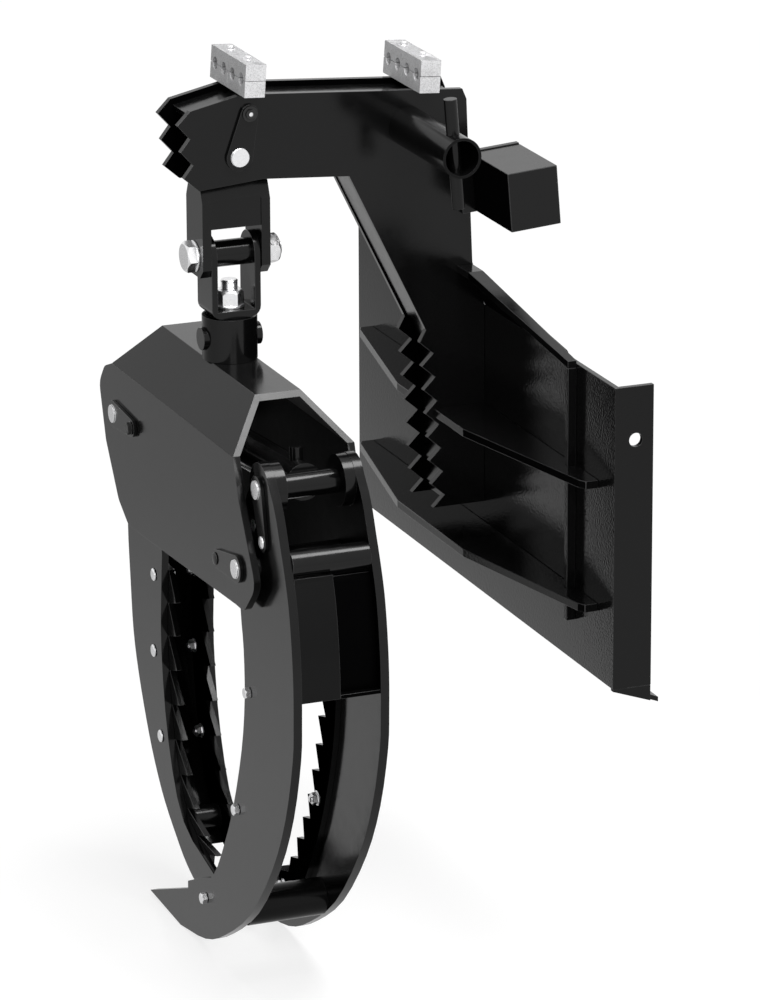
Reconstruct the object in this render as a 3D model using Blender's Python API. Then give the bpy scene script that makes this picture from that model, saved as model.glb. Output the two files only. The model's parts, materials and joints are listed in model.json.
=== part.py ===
"""Log grapple hung on a toothed boom, on a plate for a loader's quick coupler.

Metres, +Z up. +X points forward from the plate to the boom's tip, +Y to the near side.
The frame's origin is on the plate's back face, in the boom's middle plane, half way up the plate.
Inside the script heights are counted from the plate's bottom edge and X from its front face.
"""
import math

import bmesh
import bpy
from mathutils import Matrix, Vector

for old in list(bpy.data.objects):
    bpy.data.objects.remove(old, do_unlink=True)

# Clearances
GAP = 0.0003          # between pieces that touch
OVERRUN = 0.004       # how far a cutter runs past what it cuts
SINK = 0.002          # how far welded shapes of one piece run into each other
ROUND_SIDES = 40      # facets of a large round piece
SMALL_SIDES = 20      # facets of a bolt or a small bore
ARC_STEPS = 5         # facets of a rounded plate corner
HEX_SIDES = 6

# Mounting plate
PLATE_WIDTH = 1.143
PLATE_HEIGHT = 0.528
PLATE_THICK = 0.0095
PLATE_SHIFT = 0.0364          # the plate's middle lies this far to the near side of the boom
FLANGE_DEPTH = 0.070
FLANGE_TOP_DROP = 0.006
FLANGE_HOLE = 0.024
FLANGE_HOLE_BACK = 0.038
FLANGE_HOLE_HEIGHT = 0.435
LIP_DEPTH = 0.085
LIP_DROP = 0.033
LIP_THICK = 0.0085
HOOK_DEPTH = 0.032
HOOK_DROP = 0.030
HOOK_FLAT = 0.012             # its underside runs level this far before it slopes
LOCK_SLOT_WIDTH = 0.055
LOCK_SLOT_DEPTH = 0.026
LOCK_SLOT_SPREAD = 0.42
LOCK_SLOT_BACK = 0.048

# Ribs, stiffener and top gussets
RIB_THICK = 0.014
RIB_HALF = 0.5058
RIB_DEPTH = 0.096
RIB_END_DEPTH = 0.030
RIB_FLAT_HALF = 0.150
RIB_CHAMFER = 0.014
MIDDLE_RIB_TOP = 0.3505
LOWER_RIB_TOP = 0.133
STIFFENER_DEPTH = 0.016
STIFFENER_THICK = 0.012
STIFFENER_PLACE = 0.438
STIFFENER_FOOT = 0.075
GUSSET_RISE = 0.076
GUSSET_LEAN = 0.024
GUSSET_BAR_WIDTH = 0.028
GUSSET_END_WIDTH = 0.016
GUSSET_BAR_THICK = 0.012
GUSSET_LEVEL = 0.050
GUSSET_WEB_THICK = 0.0090

# Boom
BOOM_WIDTH = 0.1087
SIDE_THICK = 0.012
PIN_X = 0.4525                # the tip pin, from the plate's front face
PIN_HEIGHT = 0.8369
ARM_RISE = math.radians(3.98)
POST_LEAN = math.radians(4.5)
ARM_ABOVE_PIN = 0.108
ARM_BELOW_PIN = 0.040
NOSE_REACH = 0.114
NOSE_TOP_REACH = 0.0925
NOSE_TOP_DROP = 0.027
NOSE_FOOT_REACH = 0.068
NOSE_FOOT_DEPTH = 0.058
NOSE_TEETH = 3
NOSE_TOOTH_DEPTH = 0.024
NOSE_TOOTH_PITCH = 0.046
NOSE_LEAN = 0.0085            # each tooth stands this far behind the one above
NOSE_FIRST_DROP = 0.052
ARM_BACK = 0.404
ARM_BACK_CHAMFER = 0.018
ELBOW_BACK = 0.2044
POST_TOP_DEPTH = 0.122
POST_FOOT_DEPTH = 0.097
POST_TEETH = 8
POST_TOP_TOOTH = 0.472
POST_FOOT = 0.169
POST_TOOTH_DEPTH = 0.0235
POST_HEEL_HEIGHT = 0.607
POST_HEEL_DEPTH = 0.0229
STRAP_THICK = 0.0095
STRAP_RECESS = 0.010
INNER_STRAP_TIP = 0.092       # the underside strap stops this far behind the tip pin
POST_STRAP_RECESS = 0.012

# Hose clamps on the boom
CLAMP_LENGTH = 0.1664
CLAMP_HEIGHT = 0.0569
CLAMP_WIDTH = 0.037
CLAMP_PLACES = (0.3492, 0.0297)   # distances of their back faces behind the tip pin
CLAMP_BORE = 0.022
CLAMP_SPLIT = 0.0012
CLAMP_SEAM = 0.0012           # the groove between a row's two twin blocks
CLAMP_SEAM_SHARE = 0.3
CLAMP_BOLT = 0.008
CLAMP_BOLT_HEAD = 0.014
CLAMP_BOLT_HEAD_HIGH = 0.006
CLAMP_BOLT_DEPTH = 0.050

# Side tube, its cross rod, and the square box
TUBE_OUTER = 0.070
TUBE_INNER = 0.060
TUBE_LENGTH = 0.2395
TUBE_X = 0.143
TUBE_HEIGHT = 0.860
ROD_THICK = 0.0225
ROD_LENGTH = 0.192
ROD_INSET = 0.035
BOX_WIDTH = 0.0917
BOX_HEIGHT = 0.1035
BOX_LENGTH = 0.160
BOX_WALL = 0.006
BOX_X = -0.0184
BOX_MIDDLE = 0.7571
BRACKET_THICK = 0.0117
BRACKET_WIDTH = 0.114
BRACKET_HEIGHT = 0.108
BRACKET_FORWARD = 0.012

# Pins and their flags
PIN_THICK = 0.032
PIN_PROUD = 0.006
FLAG_THICK = 0.006
FLAG_PIN_RADIUS = 0.024
FLAG_BOLT_RADIUS = 0.016
TIP_FLAG_LENGTH = 0.077
HEAD_FLAG_LENGTH = 0.095
BASE_FLAG_LENGTH = 0.088
KEEPER_BOLT = 0.012
KEEPER_HEAD = 0.020
KEEPER_HEAD_HIGH = 0.008
LOW_HEAD_HIGH = 0.0035        # the base pin's bolt passes behind the head plate

# Upper link, cross bolt and swivel yoke
LINK_HALF_X = 0.0617
LINK_EAR_THICK = 0.014
LINK_EAR_HALF_Y = 0.0395
LINK_EAR_TOP = 0.800
LINK_EAR_FOOT = 0.622
LINK_EAR_CHAMFER = 0.016
LINK_BLOCK_HALF_Y = 0.0375
LINK_BLOCK_FOOT = 0.709
LINK_BLOCK_RADIUS = 0.0472
CROSS_HEIGHT = 0.656
CROSS_BOLT = 0.032
CROSS_HEX = 0.048
CROSS_HEAD_HIGH = 0.020
CROSS_NUT_HIGH = 0.026
SLEEVE_OUTER = 0.046
YOKE_HALF_X = 0.0447
YOKE_THICK = 0.011
YOKE_HALF_Y = 0.036
YOKE_FOOT = 0.548
YOKE_FOOT_THICK = 0.013
YOKE_CORNER = 0.018

# Swivel
COLLAR_OUTER = 0.096
COLLAR_BORE = 0.070
COLLAR_HEIGHT = 0.077
STUD_THICK = 0.030
STUD_BASE_HEIGHT = 0.070
STUD_TOP = 0.609
SWIVEL_NUT_HEX = 0.044
SWIVEL_NUT_HIGH = 0.026
SWIVEL_WASHER = 0.052
SWIVEL_WASHER_THICK = 0.004
CROSS_PIN_THICK = 0.040
CROSS_PIN_PROUD = 0.006
CROSS_PIN_HEIGHT = 0.508

# Hood and head plates
HOOD_TOP = 0.470
HOOD_TOP_HALF_X = 0.041
HOOD_TOP_HALF_Y = 0.228
HOOD_THICK = 0.010
HOOD_FOLD = 0.389
HOOD_FOLD_HALF_Y = 0.302
HEAD_HALF_X = 0.1095
HEAD_THICK = 0.0127
HEAD_PLATE_LENGTH = 0.771
HEAD_PLATE_HEIGHT = 0.2787
# corners of a head plate from the swivel axis and down from the fold, as shares of the two sizes
HEAD_CORNER_SHARES = [(-0.3917, 0.0), (0.3917, 0.0), (0.4215, 0.2390), (0.5220, 0.7200),
                      (0.4480, 0.9290), (0.4030, 0.9250), (-0.2980, 1.0), (-0.3630, 0.8810),
                      (-0.4440, 0.5470), (-0.4840, 0.1900), (-0.4450, 0.0550)]
HEAD_CORNER_RADIUS = 0.030
HEAD_CORNER_STEPS = 3
LEFT_PIVOT_Y = -0.286
LEFT_PIVOT_HEIGHT = 0.301
RIGHT_PIVOT_Y = 0.323
RIGHT_PIVOT_HEIGHT = 0.199

# Tongs
LEFT_THICK = 0.0127
RIGHT_THICK = 0.0155
LEFT_HALF_X = 0.050
RIGHT_HALF_X = 0.086
PIVOT_TUBE_OUTER = 0.057
BASE_BOSS_OUTER = 0.090
LEFT_LOBE = 0.056
RIGHT_LOBE = 0.046
BASE_PIN_OUT = 0.040          # the cylinder's base pin from the right pivot, outwards and up
BASE_PIN_UP = 0.148
BASE_PIN_NECK = 0.022
LEFT_REACH = 0.119            # the left tong's back from its pivot
LEFT_DROP = 0.806             # its tip below its pivot
LEFT_BACK_SHARES = [(-0.90, 0.177), (-0.975, 0.30), (-0.895, 0.437), (-0.80, 0.55), (-0.60, 0.64),
                    (-0.276, 0.739), (0.056, 0.818), (0.476, 0.891), (1.03, 0.956),
                    (1.40, 0.992), (1.85, 1.018), (2.30, 1.022)]
LEFT_MOUTH_SHARES = [(2.58, 0.955), (1.30, 0.898), (0.69, 0.741), (0.44, 0.540),
                     (0.481, 0.388), (0.530, 0.314)]
LEFT_TIP_OUT = 0.331
RIGHT_REACH = 0.195           # the right tong's back from its pivot
RIGHT_DROP = 0.777            # its tip below its pivot
RIGHT_TIP_IN = 0.5395
RIGHT_BACK_SHARES = [(0.523, -0.184), (0.605, -0.149), (0.697, -0.094), (0.772, -0.050),
                     (0.874, 0.022), (0.938, 0.107), (0.972, 0.194), (0.972, 0.282),
                     (0.944, 0.369), (0.761, 0.517), (0.435, 0.662), (-0.121, 0.819),
                     (-0.761, 0.927), (-1.28, 0.985), (-1.938, 1.012)]
RIGHT_MOUTH_SHARES = [(-2.46, 0.967), (-1.39, 0.847), (-1.05, 0.809), (-0.731, 0.696),
                      (-0.516, 0.594), (-0.30, 0.4465), (-0.211, 0.322), (-0.221, 0.207),
                      (-0.285, 0.120), (-0.30, 0.0), (-0.20, -0.115)]
CURVE_STEPS = 3
WEB_THICK = 0.010
RIGHT_WEB_INSET = 0.0015
RIGHT_WEB_TOP = 0.215
RIGHT_WEB_FOOT = 0.014
LEFT_WEB_INSET = 0.012
LEFT_WEB_TOP = 0.080
LEFT_WEB_FOOT = -0.330
LEFT_TUBE_OUTER = 0.048
LEFT_TUBE_Y = -0.165
LEFT_TUBE_HEIGHT = -0.435
LOWER_TUBE_OUTER = 0.066
LOWER_TUBE_Y = 0.232
LOWER_TUBE_HEIGHT = -0.450
UPPER_TUBE_OUTER = 0.048
UPPER_TUBE_Y = 0.453
UPPER_TUBE_HEIGHT = 0.240

# Toothed strips and their bolts; strip ends are shares of the mouth's length
STRIP_THICK = 0.010
STRIP_BACK = 0.052            # how far a strip reaches behind the mouth's edge
LEFT_STRIP_SHARES = (0.045, 0.915)
RIGHT_STRIP_SHARES = (0.264, 0.79)
LEFT_TOOTH_ROOT = 0.002       # from the mouth's edge, into the mouth
RIGHT_TOOTH_ROOT = -0.010
LEFT_TOOTH_ACROSS = 0.038     # a tooth's point from its root, across and up
LEFT_TOOTH_UP = 0.011
RIGHT_TOOTH_ACROSS = -0.035
RIGHT_TOOTH_UP = -0.009
LEFT_TEETH = 9
RIGHT_TEETH = 10
TOOTH_BOLT = 0.012
TOOTH_HEX = 0.019
TOOTH_HEX_HIGH = 0.0075
BOLT_HEAD_ROUND = 0.022
BOLT_HEAD_ROUND_HIGH = 0.004
LEFT_BOLT_SHARES = [(0.18, 0.3735), (0.126, 0.554), (0.378, 0.743)]
RIGHT_BOLT_SHARES = [(-0.082, 0.295), (-0.40, 0.595), (-1.246, 0.882)]

# Cylinder: its base is on the right tong and its rod's eye on the left pivot pin
BARREL_OUTER = 0.064
BARREL_INNER = 0.054
BARREL_START = 0.150          # from the rod's eye, with the tongs closed
BARREL_WALL_END = 0.045
BASE_TUBE_OUTER = 0.043
BASE_TUBE_WIDTH = 0.103
BASE_TUBE_BORE = 0.034
BASE_SINK = 0.014
GLAND_OUTER = 0.058
GLAND_LENGTH = 0.016
GLAND_INSIDE = 0.024
ROD_DIAMETER = 0.032
PISTON_LENGTH = 0.026
PISTON_PLACE = 0.210
ROD_EYE_WIDTH = 0.072
ROD_EYE_RADIUS = 0.030
PORT_OUTER = 0.022
PORT_HEIGHT = 0.022
PORT_INSET = 0.034

# Link bar between the tongs
BAR_THICK = 0.0127
BAR_HALF_HEIGHT = 0.018
BAR_EYE_RADIUS = 0.026
BAR_PIN = 0.022
BAR_X = 0.0585                # its middle plane from the swivel axis
BAR_LEFT_OUT = 0.020
BAR_LEFT_DOWN = 0.079
BAR_RIGHT_OUT = 0.008
BAR_RIGHT_UP = 0.076
BAR_EYE_CLEARANCE = 0.0068    # the left eye's play, where the linkage is opened

TOP_FACE = PLATE_HEIGHT
SIDE_OUT = BOOM_WIDTH / 2
SIDE_IN = SIDE_OUT - SIDE_THICK
PLATE_NEAR = PLATE_SHIFT + PLATE_WIDTH / 2
PLATE_FAR = PLATE_SHIFT - PLATE_WIDTH / 2


def make_material(name, colour, roughness, metallic):
    material = bpy.data.materials.new(name)
    material.use_nodes = True
    shader = material.node_tree.nodes["Principled BSDF"]
    shader.inputs["Base Color"].default_value = (*colour, 1.0)
    shader.inputs["Roughness"].default_value = roughness
    shader.inputs["Metallic"].default_value = metallic
    material.diffuse_color = (*colour, 1.0)
    return material


BLACK = make_material("black_paint", (0.02, 0.02, 0.022), 0.3, 0.0)
ZINC = make_material("zinc_plate", (0.75, 0.75, 0.72), 0.35, 1.0)
STEEL = make_material("bare_steel", (0.62, 0.62, 0.60), 0.3, 1.0)
ALLOY = make_material("clamp_alloy", (0.72, 0.72, 0.70), 0.6, 0.6)


# Frames: one empty at each joint's axis carries the pieces that move with it
def make_frame(name, place, parent=None):
    frame = bpy.data.objects.new(name, None)
    bpy.context.scene.collection.objects.link(frame)
    frame["place"] = place
    if parent:
        frame.parent = parent
        frame.location = Vector(place) - Vector(parent["place"])
    return frame


def finish(name, mesh_builder, material, frame):
    """Turns a filled bmesh, in script coordinates, into an object on a frame."""
    bmesh.ops.recalc_face_normals(mesh_builder, faces=mesh_builder.faces)
    mesh = bpy.data.meshes.new(name)
    bmesh.ops.translate(mesh_builder, verts=mesh_builder.verts, vec=-Vector(frame["place"]))
    mesh_builder.to_mesh(mesh)
    mesh_builder.free()
    if material:
        mesh.materials.append(material)
    obj = bpy.data.objects.new(name, mesh)
    bpy.context.scene.collection.objects.link(obj)
    obj.parent = frame
    return obj


def smooth_round(obj):
    obj.data.shade_smooth()
    obj.data.set_sharp_from_angle(angle=math.radians(30))
    return obj


def helper(obj):
    obj.hide_render = True
    obj.display_type = "WIRE"
    return obj


def boolean(obj, other, operation):
    change = obj.modifiers.new(operation.lower(), "BOOLEAN")
    change.operation = operation
    change.solver = "EXACT"
    change.object = helper(other)
    return obj


def cut(obj, *cutters):
    for cutter in cutters:
        boolean(obj, cutter, "DIFFERENCE")
    return obj


def weld(obj, *others):
    for other in others:
        boolean(obj, other, "UNION")
    return obj


def extruded(name, points, axis, low, high, material, frame):
    """A closed outline extruded along X, Y or Z between two places."""
    order = {"X": lambda a, b, c: (c, a, b), "Y": lambda a, b, c: (a, c, b),
             "Z": lambda a, b, c: (a, b, c)}[axis]
    builder = bmesh.new()
    verts = [builder.verts.new(order(a, b, low)) for a, b in points]
    face = builder.faces.new(verts)
    made = bmesh.ops.extrude_face_region(builder, geom=[face])
    moved = [v for v in made["geom"] if isinstance(v, bmesh.types.BMVert)]
    bmesh.ops.translate(builder, verts=moved, vec=Vector(order(0, 0, high - low)))
    return finish(name, builder, material, frame)


def round_bar(name, start, end, radius, material, frame, sides=ROUND_SIDES, turn=0.0):
    """A solid round or hexagonal bar between two points."""
    start, end = Vector(start), Vector(end)
    builder = bmesh.new()
    bmesh.ops.create_cone(builder, cap_ends=True, segments=sides, radius1=radius, radius2=radius,
                          depth=(end - start).length)
    bmesh.ops.rotate(builder, verts=builder.verts, matrix=Matrix.Rotation(turn, 3, "Z"))
    aim = (end - start).to_track_quat("Z", "Y").to_matrix()
    bmesh.ops.rotate(builder, verts=builder.verts, matrix=aim)
    bmesh.ops.translate(builder, verts=builder.verts, vec=(start + end) / 2)
    obj = finish(name, builder, material, frame)
    return smooth_round(obj) if sides > HEX_SIDES else obj


def hex_bar(name, start, end, across_flats, material, frame):
    return round_bar(name, start, end, across_flats / math.sqrt(3), material, frame, HEX_SIDES)


def bore(start, end, radius, frame, sides=SMALL_SIDES):
    return round_bar("bore", start, end, radius, None, frame, sides)


def lofted(name, sections, material, frame):
    """Joins rings of points that all have the same count, and caps both ends."""
    builder = bmesh.new()
    rings = [[builder.verts.new(point) for point in section] for section in sections]
    for ring, after in zip(rings, rings[1:]):
        for i in range(len(ring)):
            j = (i + 1) % len(ring)
            builder.faces.new((ring[i], ring[j], after[j], after[i]))
    builder.faces.new(rings[0])
    builder.faces.new(rings[-1])
    return finish(name, builder, material, frame)


def rounded(corners, radius, steps=ARC_STEPS):
    """Rounds each corner of a closed outline with an arc no longer than its sides allow."""
    points = []
    count = len(corners)
    for i in range(count):
        here = Vector(corners[i])
        back = Vector(corners[i - 1]) - here
        ahead = Vector(corners[(i + 1) % count]) - here
        half = back.angle(ahead) / 2
        reach = min(radius / math.tan(half), back.length / 2.1, ahead.length / 2.1)
        fit = reach * math.tan(half)
        middle = here + (back.normalized() + ahead.normalized()).normalized() * (fit / math.sin(half))
        first = here + back.normalized() * reach - middle
        last = here + ahead.normalized() * reach - middle
        sweep = first.angle_signed(last)
        for k in range(steps + 1):
            turned = Matrix.Rotation(-sweep * k / steps, 2) @ first
            points.append(tuple(middle + turned))
    return points


def flowing(points, steps=CURVE_STEPS):
    """A smooth curve through points, with a few points added between each two."""
    spots = [Vector(p) for p in points]
    spots = [spots[0] * 2 - spots[1]] + spots + [spots[-1] * 2 - spots[-2]]
    curve = []
    for a, b, c, d in zip(spots, spots[1:], spots[2:], spots[3:]):
        for k in range(steps):
            t = k / steps
            curve.append(tuple(0.5 * (2 * b + (c - a) * t + (2 * a - 5 * b + 4 * c - d) * t * t
                                      + (3 * b - a - 3 * c + d) * t ** 3)))
    curve.append(tuple(spots[-2]))
    return curve


def arc(centre, radius, first, last, steps):
    """Points of an arc, angles in degrees from the first outline axis."""
    angles = [math.radians(first + (last - first) * k / steps) for k in range(steps + 1)]
    return [(centre[0] + radius * math.cos(a), centre[1] + radius * math.sin(a)) for a in angles]


def on_arm(ahead, above):
    """A point of the boom's middle plane, measured along and across the arm from the tip pin."""
    return (PIN_X + ahead * math.cos(ARM_RISE) - above * math.sin(ARM_RISE),
            PIN_HEIGHT + ahead * math.sin(ARM_RISE) + above * math.cos(ARM_RISE))


base = make_frame("plate_frame", (0, 0, 0))
base.location = (PLATE_THICK, 0, -PLATE_HEIGHT / 2)
link_frame = make_frame("tip_hinge_axis", (PIN_X, 0, PIN_HEIGHT), base)
yoke_frame = make_frame("cross_hinge_axis", (PIN_X, 0, CROSS_HEIGHT), link_frame)
head_frame = make_frame("swivel_axis", (PIN_X, 0, YOKE_FOOT), yoke_frame)
left_frame = make_frame("left_tong_axis", (PIN_X, LEFT_PIVOT_Y, LEFT_PIVOT_HEIGHT), head_frame)
right_frame = make_frame("right_tong_axis", (PIN_X, RIGHT_PIVOT_Y, RIGHT_PIVOT_HEIGHT), head_frame)
BASE_PIN_Y = RIGHT_PIVOT_Y + BASE_PIN_OUT
BASE_PIN_HEIGHT = RIGHT_PIVOT_HEIGHT + BASE_PIN_UP
BAR_LEFT = (LEFT_PIVOT_Y + BAR_LEFT_OUT, LEFT_PIVOT_HEIGHT - BAR_LEFT_DOWN)
BAR_RIGHT = (RIGHT_PIVOT_Y + BAR_RIGHT_OUT, RIGHT_PIVOT_HEIGHT + BAR_RIGHT_UP)
rod_frame = make_frame("rod_tilt_axis", (PIN_X, LEFT_PIVOT_Y, LEFT_PIVOT_HEIGHT), head_frame)
barrel_frame = make_frame("barrel_slide", (PIN_X, BASE_PIN_Y, BASE_PIN_HEIGHT), rod_frame)
bar_frame = make_frame("link_bar_axis", (PIN_X, *BAR_RIGHT), right_frame)


def make_mounting_plate():
    """The flat plate with folded ends, a bottom lip with lock slots and a top hook."""
    plan = [(0, PLATE_NEAR), (-FLANGE_DEPTH, PLATE_NEAR), (-FLANGE_DEPTH, PLATE_NEAR - PLATE_THICK),
            (-PLATE_THICK, PLATE_NEAR - PLATE_THICK), (-PLATE_THICK, PLATE_FAR + PLATE_THICK),
            (-FLANGE_DEPTH, PLATE_FAR + PLATE_THICK), (-FLANGE_DEPTH, PLATE_FAR), (0, PLATE_FAR)]
    plate = extruded("mounting_plate", plan, "Z", 0, TOP_FACE, BLACK, base)
    lip = [(0, 0), (0, LIP_THICK), (-PLATE_THICK, LIP_THICK), (-LIP_DEPTH, -LIP_DROP + LIP_THICK),
           (-LIP_DEPTH, -LIP_DROP)]
    lip_bar = extruded("bottom_lip", lip, "Y", PLATE_FAR, PLATE_NEAR, BLACK, base)
    underside = TOP_FACE - PLATE_THICK * 1.4
    hook = [(-PLATE_THICK + SINK, TOP_FACE), (-PLATE_THICK + SINK, underside),
            (-PLATE_THICK - HOOK_FLAT, underside),
            (-PLATE_THICK - HOOK_DEPTH, TOP_FACE - HOOK_DROP - PLATE_THICK),
            (-PLATE_THICK - HOOK_DEPTH, TOP_FACE - HOOK_DROP)]
    hook_bar = extruded("top_hook", hook, "Y", PLATE_FAR + PLATE_THICK / 2,
                        PLATE_NEAR - PLATE_THICK / 2, BLACK, base)
    weld(plate, lip_bar, hook_bar)
    for side in (PLATE_NEAR, PLATE_FAR):
        hole = bore((-FLANGE_HOLE_BACK, side - OVERRUN * 3, FLANGE_HOLE_HEIGHT),
                    (-FLANGE_HOLE_BACK, side + OVERRUN * 3, FLANGE_HOLE_HEIGHT),
                    FLANGE_HOLE / 2, base)
        cut(plate, hole)
    for side in (-1, 1):
        middle = PLATE_SHIFT + side * LOCK_SLOT_SPREAD
        half = LOCK_SLOT_DEPTH / 2
        slot = [(-LOCK_SLOT_BACK - half, -LIP_DEPTH), (-LOCK_SLOT_BACK + half, -LIP_DEPTH),
                (-LOCK_SLOT_BACK + half, LIP_DEPTH), (-LOCK_SLOT_BACK - half, LIP_DEPTH)]
        cut(plate, extruded("lock_slot", slot, "Y", middle - LOCK_SLOT_WIDTH / 2,
                            middle + LOCK_SLOT_WIDTH / 2, None, base))


def rib_depth(place):
    """How far a rib stands out at a place along the plate."""
    away = max(abs(place - PLATE_SHIFT) - RIB_FLAT_HALF, 0)
    return RIB_DEPTH - (RIB_DEPTH - RIB_END_DEPTH) * away / (RIB_HALF - RIB_FLAT_HALF)


def rib_outline(start, end):
    """The part of a rib's outline between two places, with its bent front edge."""
    low, high = PLATE_SHIFT - RIB_HALF, PLATE_SHIFT + RIB_HALF
    front = [p for p in (PLATE_SHIFT - RIB_FLAT_HALF, PLATE_SHIFT + RIB_FLAT_HALF)
             if start < p < end]
    points = [(GAP, end), (GAP, start)]
    if start <= low:
        points += [(rib_depth(low) - RIB_CHAMFER / 2, low), (rib_depth(low), low + RIB_CHAMFER)]
    else:
        points += [(rib_depth(start), start)]
    points += [(rib_depth(p), p) for p in front]
    if end >= high:
        points += [(rib_depth(high), high - RIB_CHAMFER), (rib_depth(high) - RIB_CHAMFER / 2, high)]
    else:
        points += [(rib_depth(end), end)]
    return points


def make_ribs():
    """Horizontal ribs; each has a notch where the upright stiffener bar passes it."""
    low, high = PLATE_SHIFT - RIB_HALF, PLATE_SHIFT + RIB_HALF
    spans = {"middle_rib_near": (SIDE_OUT + GAP, high, MIDDLE_RIB_TOP),
             "middle_rib_far": (low, -SIDE_OUT - GAP, MIDDLE_RIB_TOP),
             "lower_rib": (low, high, LOWER_RIB_TOP)}
    for name, (start, end, top) in spans.items():
        rib = extruded(name, rib_outline(start, end), "Z", top - RIB_THICK, top, BLACK, base)
        if end == high:
            notch = [(-OVERRUN, STIFFENER_PLACE - GAP), (STIFFENER_DEPTH + GAP, STIFFENER_PLACE - GAP),
                     (STIFFENER_DEPTH + GAP, STIFFENER_PLACE + STIFFENER_THICK + GAP),
                     (-OVERRUN, STIFFENER_PLACE + STIFFENER_THICK + GAP)]
            cut(rib, extruded("notch", notch, "Z", top - RIB_THICK - OVERRUN, top + OVERRUN, None,
                              base))


def make_stiffener():
    """An upright flat bar from below the lower rib to the gusset."""
    outline = [(GAP, STIFFENER_PLACE), (STIFFENER_DEPTH, STIFFENER_PLACE),
               (STIFFENER_DEPTH, STIFFENER_PLACE + STIFFENER_THICK),
               (GAP, STIFFENER_PLACE + STIFFENER_THICK)]
    extruded("stiffener_bar", outline, "Z", STIFFENER_FOOT, TOP_FACE - GUSSET_BAR_THICK / 2 - GAP * 2,
             BLACK, base)


def make_top_gusset(name, side):
    """A web leaning from the plate's top edge to the boom, with a flat bar along its top."""
    near = side * (SIDE_OUT + GAP)
    level = near + side * GUSSET_LEVEL
    if side > 0:
        end = STIFFENER_PLACE + STIFFENER_THICK
    else:
        end = 2 * PLATE_SHIFT - STIFFENER_PLACE - STIFFENER_THICK
    top = TOP_FACE + GUSSET_RISE
    foot = TOP_FACE + GUSSET_BAR_THICK / 2

    def bar_section(place, back, width, height):
        low = height - GUSSET_BAR_THICK
        return [(back, place, low), (back + width, place, low),
                (back + width, place, height), (back, place, height)]

    bar = lofted(name, [bar_section(near, GUSSET_LEAN, GUSSET_BAR_WIDTH, top),
                        bar_section(level, GUSSET_LEAN, GUSSET_BAR_WIDTH, top),
                        bar_section(end, GAP, GUSSET_END_WIDTH, foot)], BLACK, base)

    def web_section(place, share):
        rise = (GUSSET_RISE - GUSSET_BAR_THICK + SINK) * share
        lean = (GUSSET_LEAN + GUSSET_BAR_WIDTH / 3) * share
        foot_low = TOP_FACE + GAP
        return [(-GUSSET_WEB_THICK, place, foot_low), (-GAP, place, foot_low),
                (lean, place, foot_low + rise), (lean - GUSSET_WEB_THICK, place, foot_low + rise)]

    reach = level + (end - level) * 0.86
    web = lofted("gusset_web", [web_section(near, 1.0), web_section(level, 1.0),
                                web_section(reach, 0.16)], BLACK, base)
    weld(bar, web)


def side_outline():
    """The boom's side plate: arm, toothed nose, slant and toothed post."""
    points = [on_arm(0, ARM_ABOVE_PIN), on_arm(NOSE_TOP_REACH, ARM_ABOVE_PIN - NOSE_TOP_DROP)]
    for i in range(NOSE_TEETH):
        tip = NOSE_REACH - NOSE_LEAN * i
        height = ARM_ABOVE_PIN - NOSE_FIRST_DROP - NOSE_TOOTH_PITCH * i
        points.append(on_arm(tip, height))
        if i < NOSE_TEETH - 1:
            points.append(on_arm(tip - NOSE_TOOTH_DEPTH, height - NOSE_TOOTH_PITCH / 2))
    points += [on_arm(NOSE_FOOT_REACH, -NOSE_FOOT_DEPTH),
               on_arm(-INNER_STRAP_TIP / 2, -ARM_BELOW_PIN),
               on_arm(-ELBOW_BACK, -ARM_BELOW_PIN)]
    pitch = (POST_TOP_TOOTH - POST_FOOT) / (POST_TEETH - 1)
    slope = (POST_TOP_DEPTH - POST_FOOT_DEPTH) / (POST_TEETH - 1)
    points.append((POST_TOP_DEPTH - POST_TOOTH_DEPTH / 2, POST_TOP_TOOTH + pitch / 2))
    for i in range(POST_TEETH):
        depth = POST_TOP_DEPTH - slope * i
        height = POST_TOP_TOOTH - pitch * i
        points.append((depth, height))
        if i < POST_TEETH - 1:
            points.append((depth - slope / 2 - POST_TOOTH_DEPTH, height - pitch / 2))
    points += [(GAP, POST_FOOT + GAP), (GAP, TOP_FACE), (POST_HEEL_DEPTH, POST_HEEL_HEIGHT),
               on_arm(-ARM_BACK - ARM_BACK_CHAMFER / 2, ARM_ABOVE_PIN - ARM_BACK_CHAMFER),
               on_arm(-ARM_BACK, ARM_ABOVE_PIN)]
    return points


def make_boom_sides():
    for name, low in (("boom_side_near", SIDE_IN), ("boom_side_far", -SIDE_OUT)):
        plate = extruded(name, side_outline(), "Y", low, low + SIDE_THICK, BLACK, base)
        ends = [(PIN_X, low - OVERRUN, PIN_HEIGHT), (PIN_X, low + SIDE_THICK + OVERRUN, PIN_HEIGHT)]
        cut(plate, bore(*ends, PIN_THICK / 2 + GAP, base, ROUND_SIDES))
        if low > 0:
            x, z = tip_keeper_place()
            ends = [(x, low - OVERRUN, z), (x, low + SIDE_THICK + OVERRUN, z)]
            cut(plate, bore(*ends, KEEPER_BOLT / 2 + GAP, base))


def tip_keeper_place():
    lean = math.radians(14)
    return (PIN_X - TIP_FLAG_LENGTH * math.sin(lean), PIN_HEIGHT + TIP_FLAG_LENGTH * math.cos(lean))


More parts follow.
